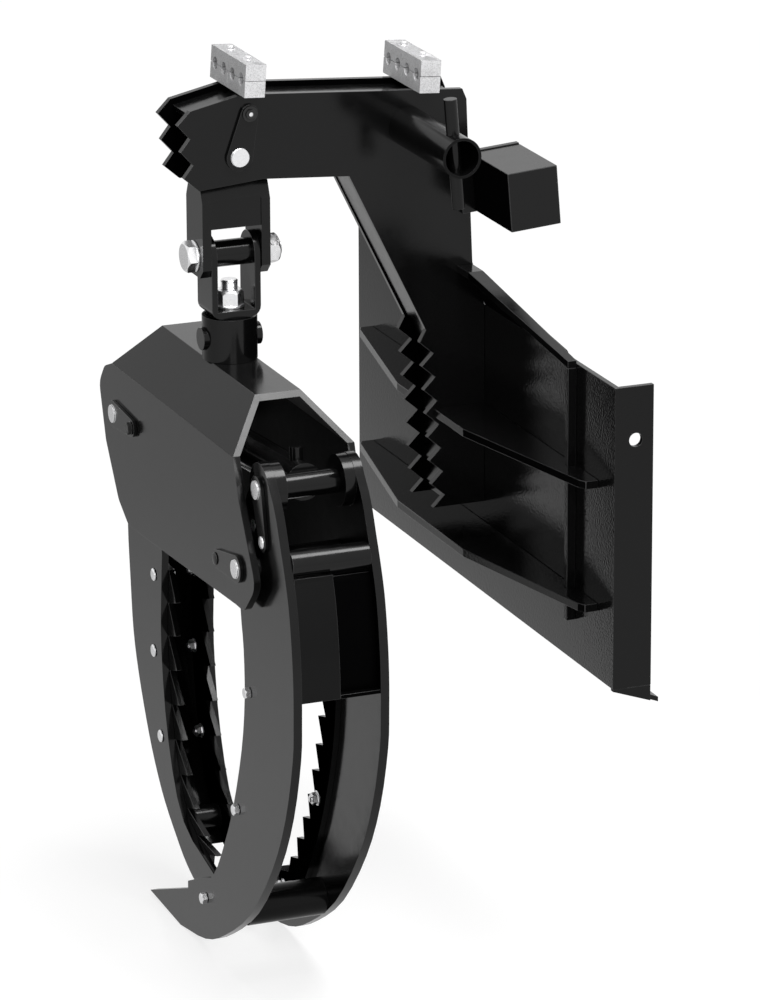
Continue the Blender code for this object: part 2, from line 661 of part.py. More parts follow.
def strap(name, path, inside):
    """A bent flat strap between the side plates; its path is the outer face."""
    points = [Vector(p) for p in path]
    inner = []
    for i, point in enumerate(points):
        before = (point - points[i - 1]).normalized() if i else (points[1] - point).normalized()
        after = (points[i + 1] - point).normalized() if i < len(points) - 1 else before
        normal = Vector((before.y, -before.x)) + Vector((after.y, -after.x))
        normal.normalize()
        stretch = 1 / max(normal.dot(Vector((after.y, -after.x))), 0.5)
        inner.append(tuple(point + normal * inside * STRAP_THICK * stretch))
    outline = [tuple(p) for p in points] + inner[::-1]
    return extruded(name, outline, "Y", -SIDE_IN + GAP, SIDE_IN - GAP, BLACK, base)


def make_straps():
    recess = ARM_ABOVE_PIN - STRAP_RECESS
    nose = NOSE_TOP_REACH - STRAP_RECESS / 2
    strap("top_strap", [on_arm(-ARM_BACK + STRAP_RECESS, recess), on_arm(-STRAP_RECESS / 4, recess),
                        on_arm(nose, recess - NOSE_TOP_DROP)], 1)
    slope = (POST_TOP_DEPTH - POST_FOOT_DEPTH) / (POST_TOP_TOOTH - POST_FOOT)
    root = POST_TOP_DEPTH - POST_TOOTH_DEPTH - POST_STRAP_RECESS
    foot = (root - slope * (POST_TOP_TOOTH - POST_FOOT - STRAP_RECESS), POST_FOOT + STRAP_RECESS)
    under = -ARM_BELOW_PIN + STRAP_RECESS
    elbow = on_arm(-ELBOW_BACK - STRAP_RECESS / 2, under)
    strap("inner_strap", [on_arm(-INNER_STRAP_TIP, under), elbow, (root, POST_TOP_TOOTH), foot], 1)
    back = [(STRAP_RECESS / 3, POST_FOOT + STRAP_RECESS * 2), (STRAP_RECESS / 3, TOP_FACE),
            (POST_HEEL_DEPTH + STRAP_RECESS, POST_HEEL_HEIGHT),
            on_arm(-ARM_BACK + STRAP_RECESS, recess - STRAP_THICK * 2)]
    strap("back_strap", back, 1)


def clamp_bolt_line(behind, side):
    along = -behind + CLAMP_WIDTH / 2
    top = ARM_ABOVE_PIN + GAP * 2 + CLAMP_HEIGHT
    low = on_arm(along, top - CLAMP_BOLT_DEPTH)
    high = on_arm(along, top)
    return (low[0], side * CLAMP_LENGTH / 4, low[1]), (high[0], side * CLAMP_LENGTH / 4, high[1])


def clamp_half(name, behind, low, high):
    """The upper or lower half of a clamp row, with a seam between its two twin blocks."""
    def block(label, first, last, foot, half, material):
        corners = [(first, foot), (last, foot), (last, high), (first, high)]
        return extruded(label, [on_arm(*corner) for corner in corners], "Y", -half, half, material,
                        base)

    half = block(name, -behind, -behind + CLAMP_WIDTH, low, CLAMP_LENGTH / 2, ALLOY)
    seam_foot = low + (high - low) * CLAMP_SEAM_SHARE
    corners = [(-behind - OVERRUN, seam_foot), (-behind + CLAMP_WIDTH + OVERRUN, seam_foot),
               (-behind + CLAMP_WIDTH + OVERRUN, high + OVERRUN), (-behind - OVERRUN, high + OVERRUN)]
    cut(half, extruded("seam", [on_arm(*corner) for corner in corners], "Y", -CLAMP_SEAM / 2,
                       CLAMP_SEAM / 2, None, base))
    return half


def make_clamps():
    """Two rows of twin pipe clamps for four hoses: lower halves, and upper halves with bolts."""
    foot = ARM_ABOVE_PIN + GAP
    middle = foot + CLAMP_HEIGHT / 2
    pitch = CLAMP_LENGTH / 4
    for row, behind in zip(("rear", "front"), CLAMP_PLACES):
        lower = clamp_half(f"{row}_clamp_lower", behind, foot, middle - CLAMP_SPLIT / 2)
        upper = clamp_half(f"{row}_clamp_upper", behind, middle + CLAMP_SPLIT / 2, foot + CLAMP_HEIGHT)
        first = on_arm(-behind - OVERRUN, middle)
        last = on_arm(-behind + CLAMP_WIDTH + OVERRUN, middle)
        for i in range(4):
            place = (i - 1.5) * pitch
            for half in (lower, upper):
                cut(half, bore((first[0], place, first[1]), (last[0], place, last[1]),
                               CLAMP_BORE / 2, base))
        for side in (-1, 1):
            low, high = (Vector(point) for point in clamp_bolt_line(behind, side))
            along = (high - low).normalized()
            cut(lower, bore(low - along * OVERRUN, high, CLAMP_BOLT / 2 + GAP, base))
            shank = round_bar("shank", low, high, CLAMP_BOLT / 2, None, base, SMALL_SIDES)
            head = round_bar("head", high - along * SINK, high + along * CLAMP_BOLT_HEAD_HIGH,
                             CLAMP_BOLT_HEAD / 2, None, base, SMALL_SIDES)
            weld(upper, shank, head)


def make_side_tube():
    near = SIDE_OUT + GAP
    tube = round_bar("side_tube", (TUBE_X, near, TUBE_HEIGHT),
                     (TUBE_X, near + TUBE_LENGTH, TUBE_HEIGHT), TUBE_OUTER / 2, BLACK, base)
    cut(tube, bore((TUBE_X, near - OVERRUN, TUBE_HEIGHT),
                   (TUBE_X, near + TUBE_LENGTH + OVERRUN, TUBE_HEIGHT), TUBE_INNER / 2, base,
                   ROUND_SIDES))
    place = near + TUBE_LENGTH - ROD_INSET
    lean = Vector((math.sin(POST_LEAN), 0, math.cos(POST_LEAN))) * ROD_LENGTH / 2
    middle = Vector((TUBE_X, place, TUBE_HEIGHT))
    round_bar("tube_cross_rod", middle - lean, middle + lean, ROD_THICK / 2, STEEL, base)
    cut(tube, bore(middle - lean, middle + lean, ROD_THICK / 2 + GAP, base, ROUND_SIDES))


def leaning_box(name, half_width, low, high, first, last, material, shift=0.0):
    """A square block that leans as the post does, between two places along Y."""
    across = Vector((math.cos(POST_LEAN), -math.sin(POST_LEAN)))
    up = Vector((math.sin(POST_LEAN), math.cos(POST_LEAN)))
    middle = Vector((BOX_X, BOX_MIDDLE))
    outline = [tuple(middle + across * (a + shift) + up * b)
               for a, b in ((-half_width, low), (half_width, low),
                            (half_width, high), (-half_width, high))]
    return extruded(name, outline, "Y", first, last, material, base)


def make_side_box():
    """A square tube stub with a closed outer end, on a bracket plate beside the post."""
    plate_out = SIDE_OUT + GAP + BRACKET_THICK
    leaning_box("box_bracket", BRACKET_WIDTH / 2, -BRACKET_HEIGHT / 2, BRACKET_HEIGHT / 2,
                SIDE_OUT + GAP, plate_out, BLACK, BRACKET_FORWARD)
    start = plate_out + GAP
    box = leaning_box("side_box", BOX_WIDTH / 2, -BOX_HEIGHT / 2, BOX_HEIGHT / 2, start,
                      start + BOX_LENGTH, BLACK)
    inside = leaning_box("box_inside", BOX_WIDTH / 2 - BOX_WALL, BOX_WALL - BOX_HEIGHT / 2,
                         BOX_HEIGHT / 2 - BOX_WALL, start - OVERRUN,
                         start + BOX_LENGTH - BOX_WALL, None)
    cut(box, inside)


def flag_outline(pin, bolt):
    """Two circles of different size joined by tangents, as a flag plate around a pin."""
    pin, bolt = Vector(pin), Vector(bolt)
    heading = math.degrees(math.atan2(bolt.y - pin.y, bolt.x - pin.x))
    return (arc(pin, FLAG_PIN_RADIUS, heading + 95, heading + 265, 10)
            + arc(bolt, FLAG_BOLT_RADIUS, heading - 85, heading + 85, 8))


def flag_pin(name, axis, pin, bolt, back, front, frame):
    """A pin welded to a flag plate that lies against the carrying plate's outer face."""
    if axis == "Y":
        ends = [(pin[0], back, pin[1]), (pin[0], front + FLAG_THICK + PIN_PROUD / 2, pin[1])]
        holes = [(bolt[0], front - OVERRUN, bolt[1]), (bolt[0], front + FLAG_THICK + OVERRUN, bolt[1])]
    else:
        ends = [(back, pin[0], pin[1]), (front + FLAG_THICK + PIN_PROUD / 2, pin[0], pin[1])]
        holes = [(front - OVERRUN, bolt[0], bolt[1]), (front + FLAG_THICK + OVERRUN, bolt[0], bolt[1])]
    shaft = round_bar(name, *ends, PIN_THICK / 2, STEEL, frame)
    flag = extruded("flag", flag_outline(pin, bolt), axis, front, front + FLAG_THICK, STEEL, frame)
    return cut(weld(shaft, flag), bore(*holes, KEEPER_BOLT / 2 + GAP, frame))


def keeper_bolt(name, axis, bolt, front, depth, frame, head_high=KEEPER_HEAD_HIGH):
    """A hexagon bolt through a flag plate into the plate behind it."""
    face = front + FLAG_THICK + GAP

    def at(place):
        return (bolt[0], place, bolt[1]) if axis == "Y" else (place, bolt[0], bolt[1])

    shank = round_bar(name, at(front - depth), at(face + SINK), KEEPER_BOLT / 2, ZINC, frame,
                      SMALL_SIDES)
    head = hex_bar("head", at(face), at(face + head_high), KEEPER_HEAD, ZINC, frame)
    return weld(shank, head)


def make_tip_pin():
    bolt = tip_keeper_place()
    front = SIDE_OUT + GAP
    flag_pin("tip_pin", "Y", (PIN_X, PIN_HEIGHT), bolt, -SIDE_OUT - PIN_PROUD, front, base)
    keeper_bolt("tip_keeper_bolt", "Y", bolt, front, SIDE_THICK, base)


def make_upper_link():
    """A block on the tip pin with two ears that hang down for the cross bolt."""
    inner = LINK_HALF_X - LINK_EAR_THICK
    rim = arc((PIN_X, PIN_HEIGHT), LINK_BLOCK_RADIUS, 0, 180, 14)
    block = [(PIN_X - LINK_BLOCK_RADIUS, LINK_BLOCK_FOOT), (PIN_X + LINK_BLOCK_RADIUS, LINK_BLOCK_FOOT)]
    link = extruded("upper_link", block + rim, "Y", -LINK_BLOCK_HALF_Y, LINK_BLOCK_HALF_Y, BLACK,
                    link_frame)
    ear = [(-LINK_EAR_HALF_Y + LINK_EAR_CHAMFER, LINK_EAR_FOOT),
           (LINK_EAR_HALF_Y - LINK_EAR_CHAMFER, LINK_EAR_FOOT),
           (LINK_EAR_HALF_Y, LINK_EAR_FOOT + LINK_EAR_CHAMFER),
           (LINK_EAR_HALF_Y, LINK_EAR_TOP - LINK_EAR_CHAMFER),
           (LINK_EAR_HALF_Y - LINK_EAR_CHAMFER, LINK_EAR_TOP),
           (-LINK_EAR_HALF_Y + LINK_EAR_CHAMFER, LINK_EAR_TOP),
           (-LINK_EAR_HALF_Y, LINK_EAR_TOP - LINK_EAR_CHAMFER),
           (-LINK_EAR_HALF_Y, LINK_EAR_FOOT + LINK_EAR_CHAMFER)]
    for side in (-1, 1):
        faces = sorted((PIN_X + side * (inner - SINK), PIN_X + side * LINK_HALF_X))
        weld(link, extruded("link_ear", ear, "X", *faces, BLACK, link_frame))
    reach = LINK_BLOCK_HALF_Y + OVERRUN
    cut(link, bore((PIN_X, -reach, PIN_HEIGHT), (PIN_X, reach, PIN_HEIGHT),
                   PIN_THICK / 2 + GAP, link_frame, ROUND_SIDES))
    reach = LINK_HALF_X + OVERRUN
    cut(link, bore((PIN_X - reach, 0, CROSS_HEIGHT), (PIN_X + reach, 0, CROSS_HEIGHT),
                   CROSS_BOLT / 2 + GAP, link_frame, ROUND_SIDES))


def make_cross_bolt():
    face = LINK_HALF_X + GAP
    bolt = round_bar("cross_bolt", (PIN_X - face - CROSS_NUT_HIGH - OVERRUN, 0, CROSS_HEIGHT),
                     (PIN_X + face + SINK, 0, CROSS_HEIGHT), CROSS_BOLT / 2, ZINC, link_frame)
    head = hex_bar("head", (PIN_X + face, 0, CROSS_HEIGHT),
                   (PIN_X + face + CROSS_HEAD_HIGH, 0, CROSS_HEIGHT), CROSS_HEX, ZINC, link_frame)
    weld(bolt, head)
    nut = hex_bar("cross_bolt_nut", (PIN_X - face - CROSS_NUT_HIGH, 0, CROSS_HEIGHT),
                  (PIN_X - face, 0, CROSS_HEIGHT), CROSS_HEX, ZINC, link_frame)
    reach = face + CROSS_NUT_HIGH + OVERRUN * 2
    cut(nut, bore((PIN_X - reach, 0, CROSS_HEIGHT), (PIN_X, 0, CROSS_HEIGHT),
                  CROSS_BOLT / 2 + GAP, link_frame, ROUND_SIDES))


def make_yoke():
    """A U bent from flat bar, with round ear tops, a cross bore and a stud bore."""
    outer = [(PIN_X - YOKE_HALF_X, CROSS_HEIGHT + YOKE_HALF_Y), (PIN_X - YOKE_HALF_X, YOKE_FOOT),
             (PIN_X + YOKE_HALF_X, YOKE_FOOT), (PIN_X + YOKE_HALF_X, CROSS_HEIGHT + YOKE_HALF_Y)]
    top = CROSS_HEIGHT + YOKE_HALF_Y
    bend_right = arc((PIN_X + YOKE_HALF_X - YOKE_CORNER, YOKE_FOOT + YOKE_CORNER), YOKE_CORNER,
                     -90, 0, ARC_STEPS)
    bend_left = arc((PIN_X - YOKE_HALF_X + YOKE_CORNER, YOKE_FOOT + YOKE_CORNER), YOKE_CORNER,
                    180, 270, ARC_STEPS)
    inner = YOKE_HALF_X - YOKE_THICK
    floor = YOKE_FOOT + YOKE_FOOT_THICK
    outline = bend_left + bend_right + [(PIN_X + YOKE_HALF_X, top), (PIN_X + inner, top),
                                        (PIN_X + inner, floor), (PIN_X - inner, floor),
                                        (PIN_X - inner, top), (outer[0][0], top)]
    yoke = extruded("swivel_yoke", outline, "Y", -YOKE_HALF_Y, YOKE_HALF_Y, BLACK, yoke_frame)
    keep = arc((0, CROSS_HEIGHT), YOKE_HALF_Y, 0, 180, 16) + [(-YOKE_HALF_Y, YOKE_FOOT - OVERRUN),
                                                             (YOKE_HALF_Y, YOKE_FOOT - OVERRUN)]
    reach = YOKE_HALF_X + OVERRUN
    boolean(yoke, extruded("ear_shape", keep, "X", PIN_X - reach, PIN_X + reach, None, yoke_frame),
            "INTERSECT")
    cut(yoke, bore((PIN_X - reach, 0, CROSS_HEIGHT), (PIN_X + reach, 0, CROSS_HEIGHT),
                   CROSS_BOLT / 2 + GAP, yoke_frame, ROUND_SIDES),
        bore((PIN_X, 0, YOKE_FOOT - OVERRUN), (PIN_X, 0, floor + OVERRUN),
             STUD_THICK / 2 + GAP, yoke_frame, ROUND_SIDES))
    half = inner - GAP
    sleeve = round_bar("bolt_sleeve", (PIN_X - half, 0, CROSS_HEIGHT), (PIN_X + half, 0, CROSS_HEIGHT),
                       SLEEVE_OUTER / 2, BLACK, yoke_frame)
    cut(sleeve, bore((PIN_X - reach, 0, CROSS_HEIGHT), (PIN_X + reach, 0, CROSS_HEIGHT),
                     CROSS_BOLT / 2 + GAP, yoke_frame, ROUND_SIDES))


def make_swivel():
    """The collar on the hood, the stud that its cross pin holds, and the stud's nut."""
    low = HOOD_TOP + GAP
    high = low + COLLAR_HEIGHT
    collar = round_bar("swivel_collar", (PIN_X, 0, low), (PIN_X, 0, high), COLLAR_OUTER / 2, BLACK,
                       head_frame)
    cut(collar, bore((PIN_X, 0, low - OVERRUN), (PIN_X, 0, high + OVERRUN), COLLAR_BORE / 2,
                     head_frame, ROUND_SIDES))
    reach = COLLAR_OUTER / 2 + CROSS_PIN_PROUD
    ends = [(PIN_X - reach, 0, CROSS_PIN_HEIGHT), (PIN_X + reach, 0, CROSS_PIN_HEIGHT)]
    far = reach + OVERRUN
    bore_ends = [(PIN_X - far, 0, CROSS_PIN_HEIGHT), (PIN_X + far, 0, CROSS_PIN_HEIGHT)]
    cut(collar, bore(*bore_ends, CROSS_PIN_THICK / 2 + GAP, head_frame, ROUND_SIDES))
    round_bar("collar_cross_pin", *ends, CROSS_PIN_THICK / 2, STEEL, head_frame)
    base_low = low + GAP
    stud = round_bar("swivel_stud", (PIN_X, 0, base_low), (PIN_X, 0, base_low + STUD_BASE_HEIGHT),
                     COLLAR_BORE / 2 - GAP, STEEL, head_frame)
    shank = round_bar("shank", (PIN_X, 0, base_low + STUD_BASE_HEIGHT - SINK), (PIN_X, 0, STUD_TOP),
                      STUD_THICK / 2, STEEL, head_frame)
    weld(stud, shank)
    cut(stud, bore(*bore_ends, CROSS_PIN_THICK / 2 + GAP, head_frame, ROUND_SIDES))
    floor = YOKE_FOOT + YOKE_FOOT_THICK + GAP
    washer = round_bar("swivel_nut", (PIN_X, 0, floor), (PIN_X, 0, floor + SWIVEL_WASHER_THICK),
                       SWIVEL_WASHER / 2, ZINC, head_frame)
    nut = hex_bar("nut", (PIN_X, 0, floor + SWIVEL_WASHER_THICK - SINK / 2),
                  (PIN_X, 0, floor + SWIVEL_WASHER_THICK + SWIVEL_NUT_HIGH), SWIVEL_NUT_HEX, ZINC,
                  head_frame)
    weld(washer, nut)
    cut(washer, bore((PIN_X, 0, floor - OVERRUN), (PIN_X, 0, STUD_TOP), STUD_THICK / 2 + GAP,
                     head_frame, ROUND_SIDES))


def make_hood():
    """A folded plate: flat top and two slopes that spread towards the head plates."""
    drop = HOOD_TOP - HOOD_FOLD
    run = HEAD_HALF_X - HOOD_TOP_HALF_X
    slant = math.hypot(drop, run)
    inset = HOOD_THICK * (slant - run) / drop
    flare = (HOOD_FOLD_HALF_Y - HOOD_TOP_HALF_Y) / drop

    def spread(height):
        return HOOD_TOP_HALF_Y + (HOOD_TOP - height) * flare

    def section(side):
        inner_top = HOOD_TOP - HOOD_THICK
        inner_half = HOOD_TOP_HALF_X - inset
        across = HOOD_THICK * slant / drop
        path = [(-HEAD_HALF_X, HOOD_FOLD), (-HOOD_TOP_HALF_X, HOOD_TOP), (HOOD_TOP_HALF_X, HOOD_TOP),
                (HEAD_HALF_X, HOOD_FOLD), (HEAD_HALF_X - across, HOOD_FOLD),
                (inner_half, inner_top), (-inner_half, inner_top), (-HEAD_HALF_X + across, HOOD_FOLD)]
        return [(PIN_X + x, side * spread(z), z) for x, z in path]

    lofted("hood", [section(-1), section(1)], BLACK, head_frame)


def head_outline():
    """The head plate's outline, with every corner rounded but the two at the hood."""
    corners = [(y * HEAD_PLATE_LENGTH, HOOD_FOLD - GAP - z * HEAD_PLATE_HEIGHT)
               for y, z in HEAD_CORNER_SHARES[::-1]]
    points = rounded(corners, HEAD_CORNER_RADIUS, HEAD_CORNER_STEPS)
    return points[:-2 * (HEAD_CORNER_STEPS + 1)] + corners[-2:]


def keeper_places():
    """Where each head pin's flag is bolted, beside its pin."""
    turn = math.radians(186)
    left = (LEFT_PIVOT_Y + HEAD_FLAG_LENGTH, LEFT_PIVOT_HEIGHT)
    right = (RIGHT_PIVOT_Y + HEAD_FLAG_LENGTH * math.cos(turn),
             RIGHT_PIVOT_HEIGHT + HEAD_FLAG_LENGTH * math.sin(turn))
    return left, right


def make_head_plates():
    pins = [(LEFT_PIVOT_Y, LEFT_PIVOT_HEIGHT), (RIGHT_PIVOT_Y, RIGHT_PIVOT_HEIGHT)]
    for name, side in (("head_plate_front", 1), ("head_plate_rear", -1)):
        faces = sorted((PIN_X + side * HEAD_HALF_X, PIN_X + side * (HEAD_HALF_X - HEAD_THICK)))
        plate = extruded(name, head_outline(), "X", *faces, BLACK, head_frame)
        low, high = faces[0] - OVERRUN, faces[1] + OVERRUN
        for y, z in pins:
            cut(plate, bore((low, y, z), (high, y, z), PIN_THICK / 2 + GAP, head_frame, ROUND_SIDES))
        if side > 0:
            for y, z in keeper_places():
                cut(plate, bore((low, y, z), (high, y, z), KEEPER_BOLT / 2 + GAP, head_frame))
    front = PIN_X + HEAD_HALF_X + GAP
    back = PIN_X - HEAD_HALF_X - PIN_PROUD
    for name, pin, bolt in zip(("left", "right"), pins, keeper_places()):
        flag_pin(f"{name}_pivot_pin", "X", pin, bolt, back, front, head_frame)
        keeper_bolt(f"{name}_keeper_bolt", "X", bolt, front, HEAD_THICK, head_frame)


def left_point(shares):
    return (LEFT_PIVOT_Y + LEFT_REACH * shares[0], LEFT_PIVOT_HEIGHT - LEFT_DROP * shares[1])


def right_point(shares):
    return (RIGHT_PIVOT_Y + RIGHT_REACH * shares[0], RIGHT_PIVOT_HEIGHT - RIGHT_DROP * shares[1])


def left_mouth():
    """The left tong's inner edge, from its top to its tip."""
    return flowing([left_point(s) for s in LEFT_MOUTH_SHARES[::-1]])


def right_mouth():
    """The right tong's inner edge, from its top to its tip."""
    return flowing([right_point(s) for s in RIGHT_MOUTH_SHARES[::-1]])


def left_outline():
    pivot = (LEFT_PIVOT_Y, LEFT_PIVOT_HEIGHT)
    tip = (LEFT_PIVOT_Y + LEFT_TIP_OUT, LEFT_PIVOT_HEIGHT - LEFT_DROP)
    back = flowing([left_point(s) for s in LEFT_BACK_SHARES])
    return arc(pivot, LEFT_LOBE, 20, 185, 12) + back + [tip] + left_mouth()[::-1]


def right_outline():
    pin = (BASE_PIN_Y, BASE_PIN_HEIGHT)
    tip = (RIGHT_PIVOT_Y - RIGHT_TIP_IN, RIGHT_PIVOT_HEIGHT - RIGHT_DROP)
    back = flowing([right_point(s) for s in RIGHT_BACK_SHARES])
    return arc(pin, RIGHT_LOBE, 185, 25, 12) + back + [tip] + right_mouth()[::-1]


def between_heights(curve, high, low):
    """The stretch of a falling curve between two heights."""
    def at_height(height):
        for a, b in zip(curve, curve[1:]):
            if a[1] >= height >= b[1]:
                share = (a[1] - height) / (a[1] - b[1])
                return a[0] + (b[0] - a[0]) * share, height
        return curve[-1]

    return [at_height(high)] + [p for p in curve if low < p[1] < high] + [at_height(low)]


def along_curve(curve, share):
    """The point and the heading of a curve at a share of its length."""
    spots = [Vector(p) for p in curve]
    lengths = [(b - a).length for a, b in zip(spots, spots[1:])]
    target = share * sum(lengths)
    for a, b, length in zip(spots, spots[1:], lengths):
        if target <= length:
            return a + (b - a) * (target / length), (b - a).normalized()
        target -= length
    return spots[-1], (spots[-1] - spots[-2]).normalized()


def toothed_strip(mouth, ends, inward, teeth, root, across, up):
    """A strip along the mouth's edge with sawteeth; a positive rise puts the points at their feet."""
    def place(share, away):
        spot, heading = along_curve(mouth, ends[0] + (ends[1] - ends[0]) * share)
        return spot + Vector((heading.y, -heading.x)) * inward * away

    front = []
    for i in range(teeth):
        foot = i + 1 if up > 0 else i
        front += [tuple(place(i / teeth, root)), tuple(place(foot / teeth, root) + Vector((across, up)))]
    back = [tuple(place(1 - i / (teeth * 2), -STRIP_BACK)) for i in range(teeth * 2 + 1)]
    return front + [tuple(place(1, root))] + back


def cut_bolt_holes(plate, spots, faces, frame):
    for y, z in spots:
        cut(plate, bore((faces[0] - OVERRUN, y, z), (faces[1] + OVERRUN, y, z),
                        TOOTH_BOLT / 2 + GAP, frame, SMALL_SIDES))


def add_bolts(strip, spots, half, thick, side, flat_heads, frame):
    """Joins a strip with its three bolts, which run out through the tong plate."""
    outer = half + GAP
    inner = half - thick - GAP - STRIP_THICK
    for y, z in spots:
        def at(place):
            return (PIN_X + side * place, y, z)

        shank = round_bar("shank", at(inner), at(outer + SINK), TOOTH_BOLT / 2, None, frame,
                          SMALL_SIDES)
        if flat_heads:
            head = round_bar("head", at(outer), at(outer + BOLT_HEAD_ROUND_HIGH),
                             BOLT_HEAD_ROUND / 2, None, frame, SMALL_SIDES)
        else:
            head = hex_bar("head", at(outer), at(outer + TOOTH_HEX_HIGH), TOOTH_HEX, None, frame)
        nut = hex_bar("nut", at(inner - TOOTH_HEX_HIGH), at(inner + SINK), TOOTH_HEX, None, frame)
        weld(strip, shank, head, nut)


def make_left_tong():
    mouth = left_mouth()
    spots = [left_point(s) for s in LEFT_BOLT_SHARES]
    teeth = toothed_strip(mouth, LEFT_STRIP_SHARES, -1, LEFT_TEETH, LEFT_TOOTH_ROOT,
                          LEFT_TOOTH_ACROSS, LEFT_TOOTH_UP)
    for side, end in ((1, "front"), (-1, "rear")):
        faces = sorted((PIN_X + side * LEFT_HALF_X, PIN_X + side * (LEFT_HALF_X - LEFT_THICK)))
        plate = extruded(f"left_tong_plate_{end}", left_outline(), "X", *faces, BLACK, left_frame)
        start, stop = LEFT_HALF_X - LEFT_THICK / 2, HEAD_HALF_X - HEAD_THICK - GAP
        weld(plate, round_bar("boss", (PIN_X + side * start, LEFT_PIVOT_Y, LEFT_PIVOT_HEIGHT),
                              (PIN_X + side * stop, LEFT_PIVOT_Y, LEFT_PIVOT_HEIGHT),
                              PIVOT_TUBE_OUTER / 2, None, left_frame))
        low, high = PIN_X - HEAD_HALF_X, PIN_X + HEAD_HALF_X
        cut(plate, bore((low, LEFT_PIVOT_Y, LEFT_PIVOT_HEIGHT), (high, LEFT_PIVOT_Y, LEFT_PIVOT_HEIGHT),
                        PIN_THICK / 2 + GAP, left_frame, ROUND_SIDES))
        cut_bolt_holes(plate, spots, faces, left_frame)
        if side > 0:
            cut(plate, bore((low, *BAR_LEFT), (high, *BAR_LEFT), BAR_PIN / 2 + GAP, left_frame))
        inner = LEFT_HALF_X - LEFT_THICK - GAP
        strip_faces = sorted((PIN_X + side * inner, PIN_X + side * (inner - STRIP_THICK)))
        strip = extruded(f"left_teeth_{end}", teeth, "X", *strip_faces, BLACK, left_frame)
        add_bolts(strip, spots, LEFT_HALF_X, LEFT_THICK, side, True, left_frame)
    back = between_heights(flowing([left_point(s) for s in LEFT_BACK_SHARES]), LEFT_WEB_TOP,
                           LEFT_WEB_FOOT)
    web = ([(y + LEFT_WEB_INSET, z) for y, z in back]
           + [(y + LEFT_WEB_INSET + WEB_THICK, z) for y, z in back[::-1]])
    inner = LEFT_HALF_X - LEFT_THICK - GAP
    extruded("left_web", web, "X", PIN_X - inner, PIN_X + inner, BLACK, left_frame)
    reach = inner - STRIP_THICK - GAP
    round_bar("left_cross_tube", (PIN_X - reach, LEFT_TUBE_Y, LEFT_TUBE_HEIGHT),
              (PIN_X + reach, LEFT_TUBE_Y, LEFT_TUBE_HEIGHT), LEFT_TUBE_OUTER / 2, BLACK, left_frame)
    face = PIN_X + LEFT_HALF_X
    pin = round_bar("left_bar_pin", (face - LEFT_THICK, *BAR_LEFT),
                    (PIN_X + BAR_X + BAR_THICK / 2 + GAP + PIN_PROUD, *BAR_LEFT), BAR_PIN / 2, ZINC,
                    left_frame, SMALL_SIDES)
    weld(pin, round_bar("washer", (PIN_X + BAR_X + BAR_THICK / 2 + GAP, *BAR_LEFT),
                        (PIN_X + BAR_X + BAR_THICK / 2 + GAP + PIN_PROUD, *BAR_LEFT),
                        BAR_EYE_RADIUS * 0.8, ZINC, left_frame, SMALL_SIDES))


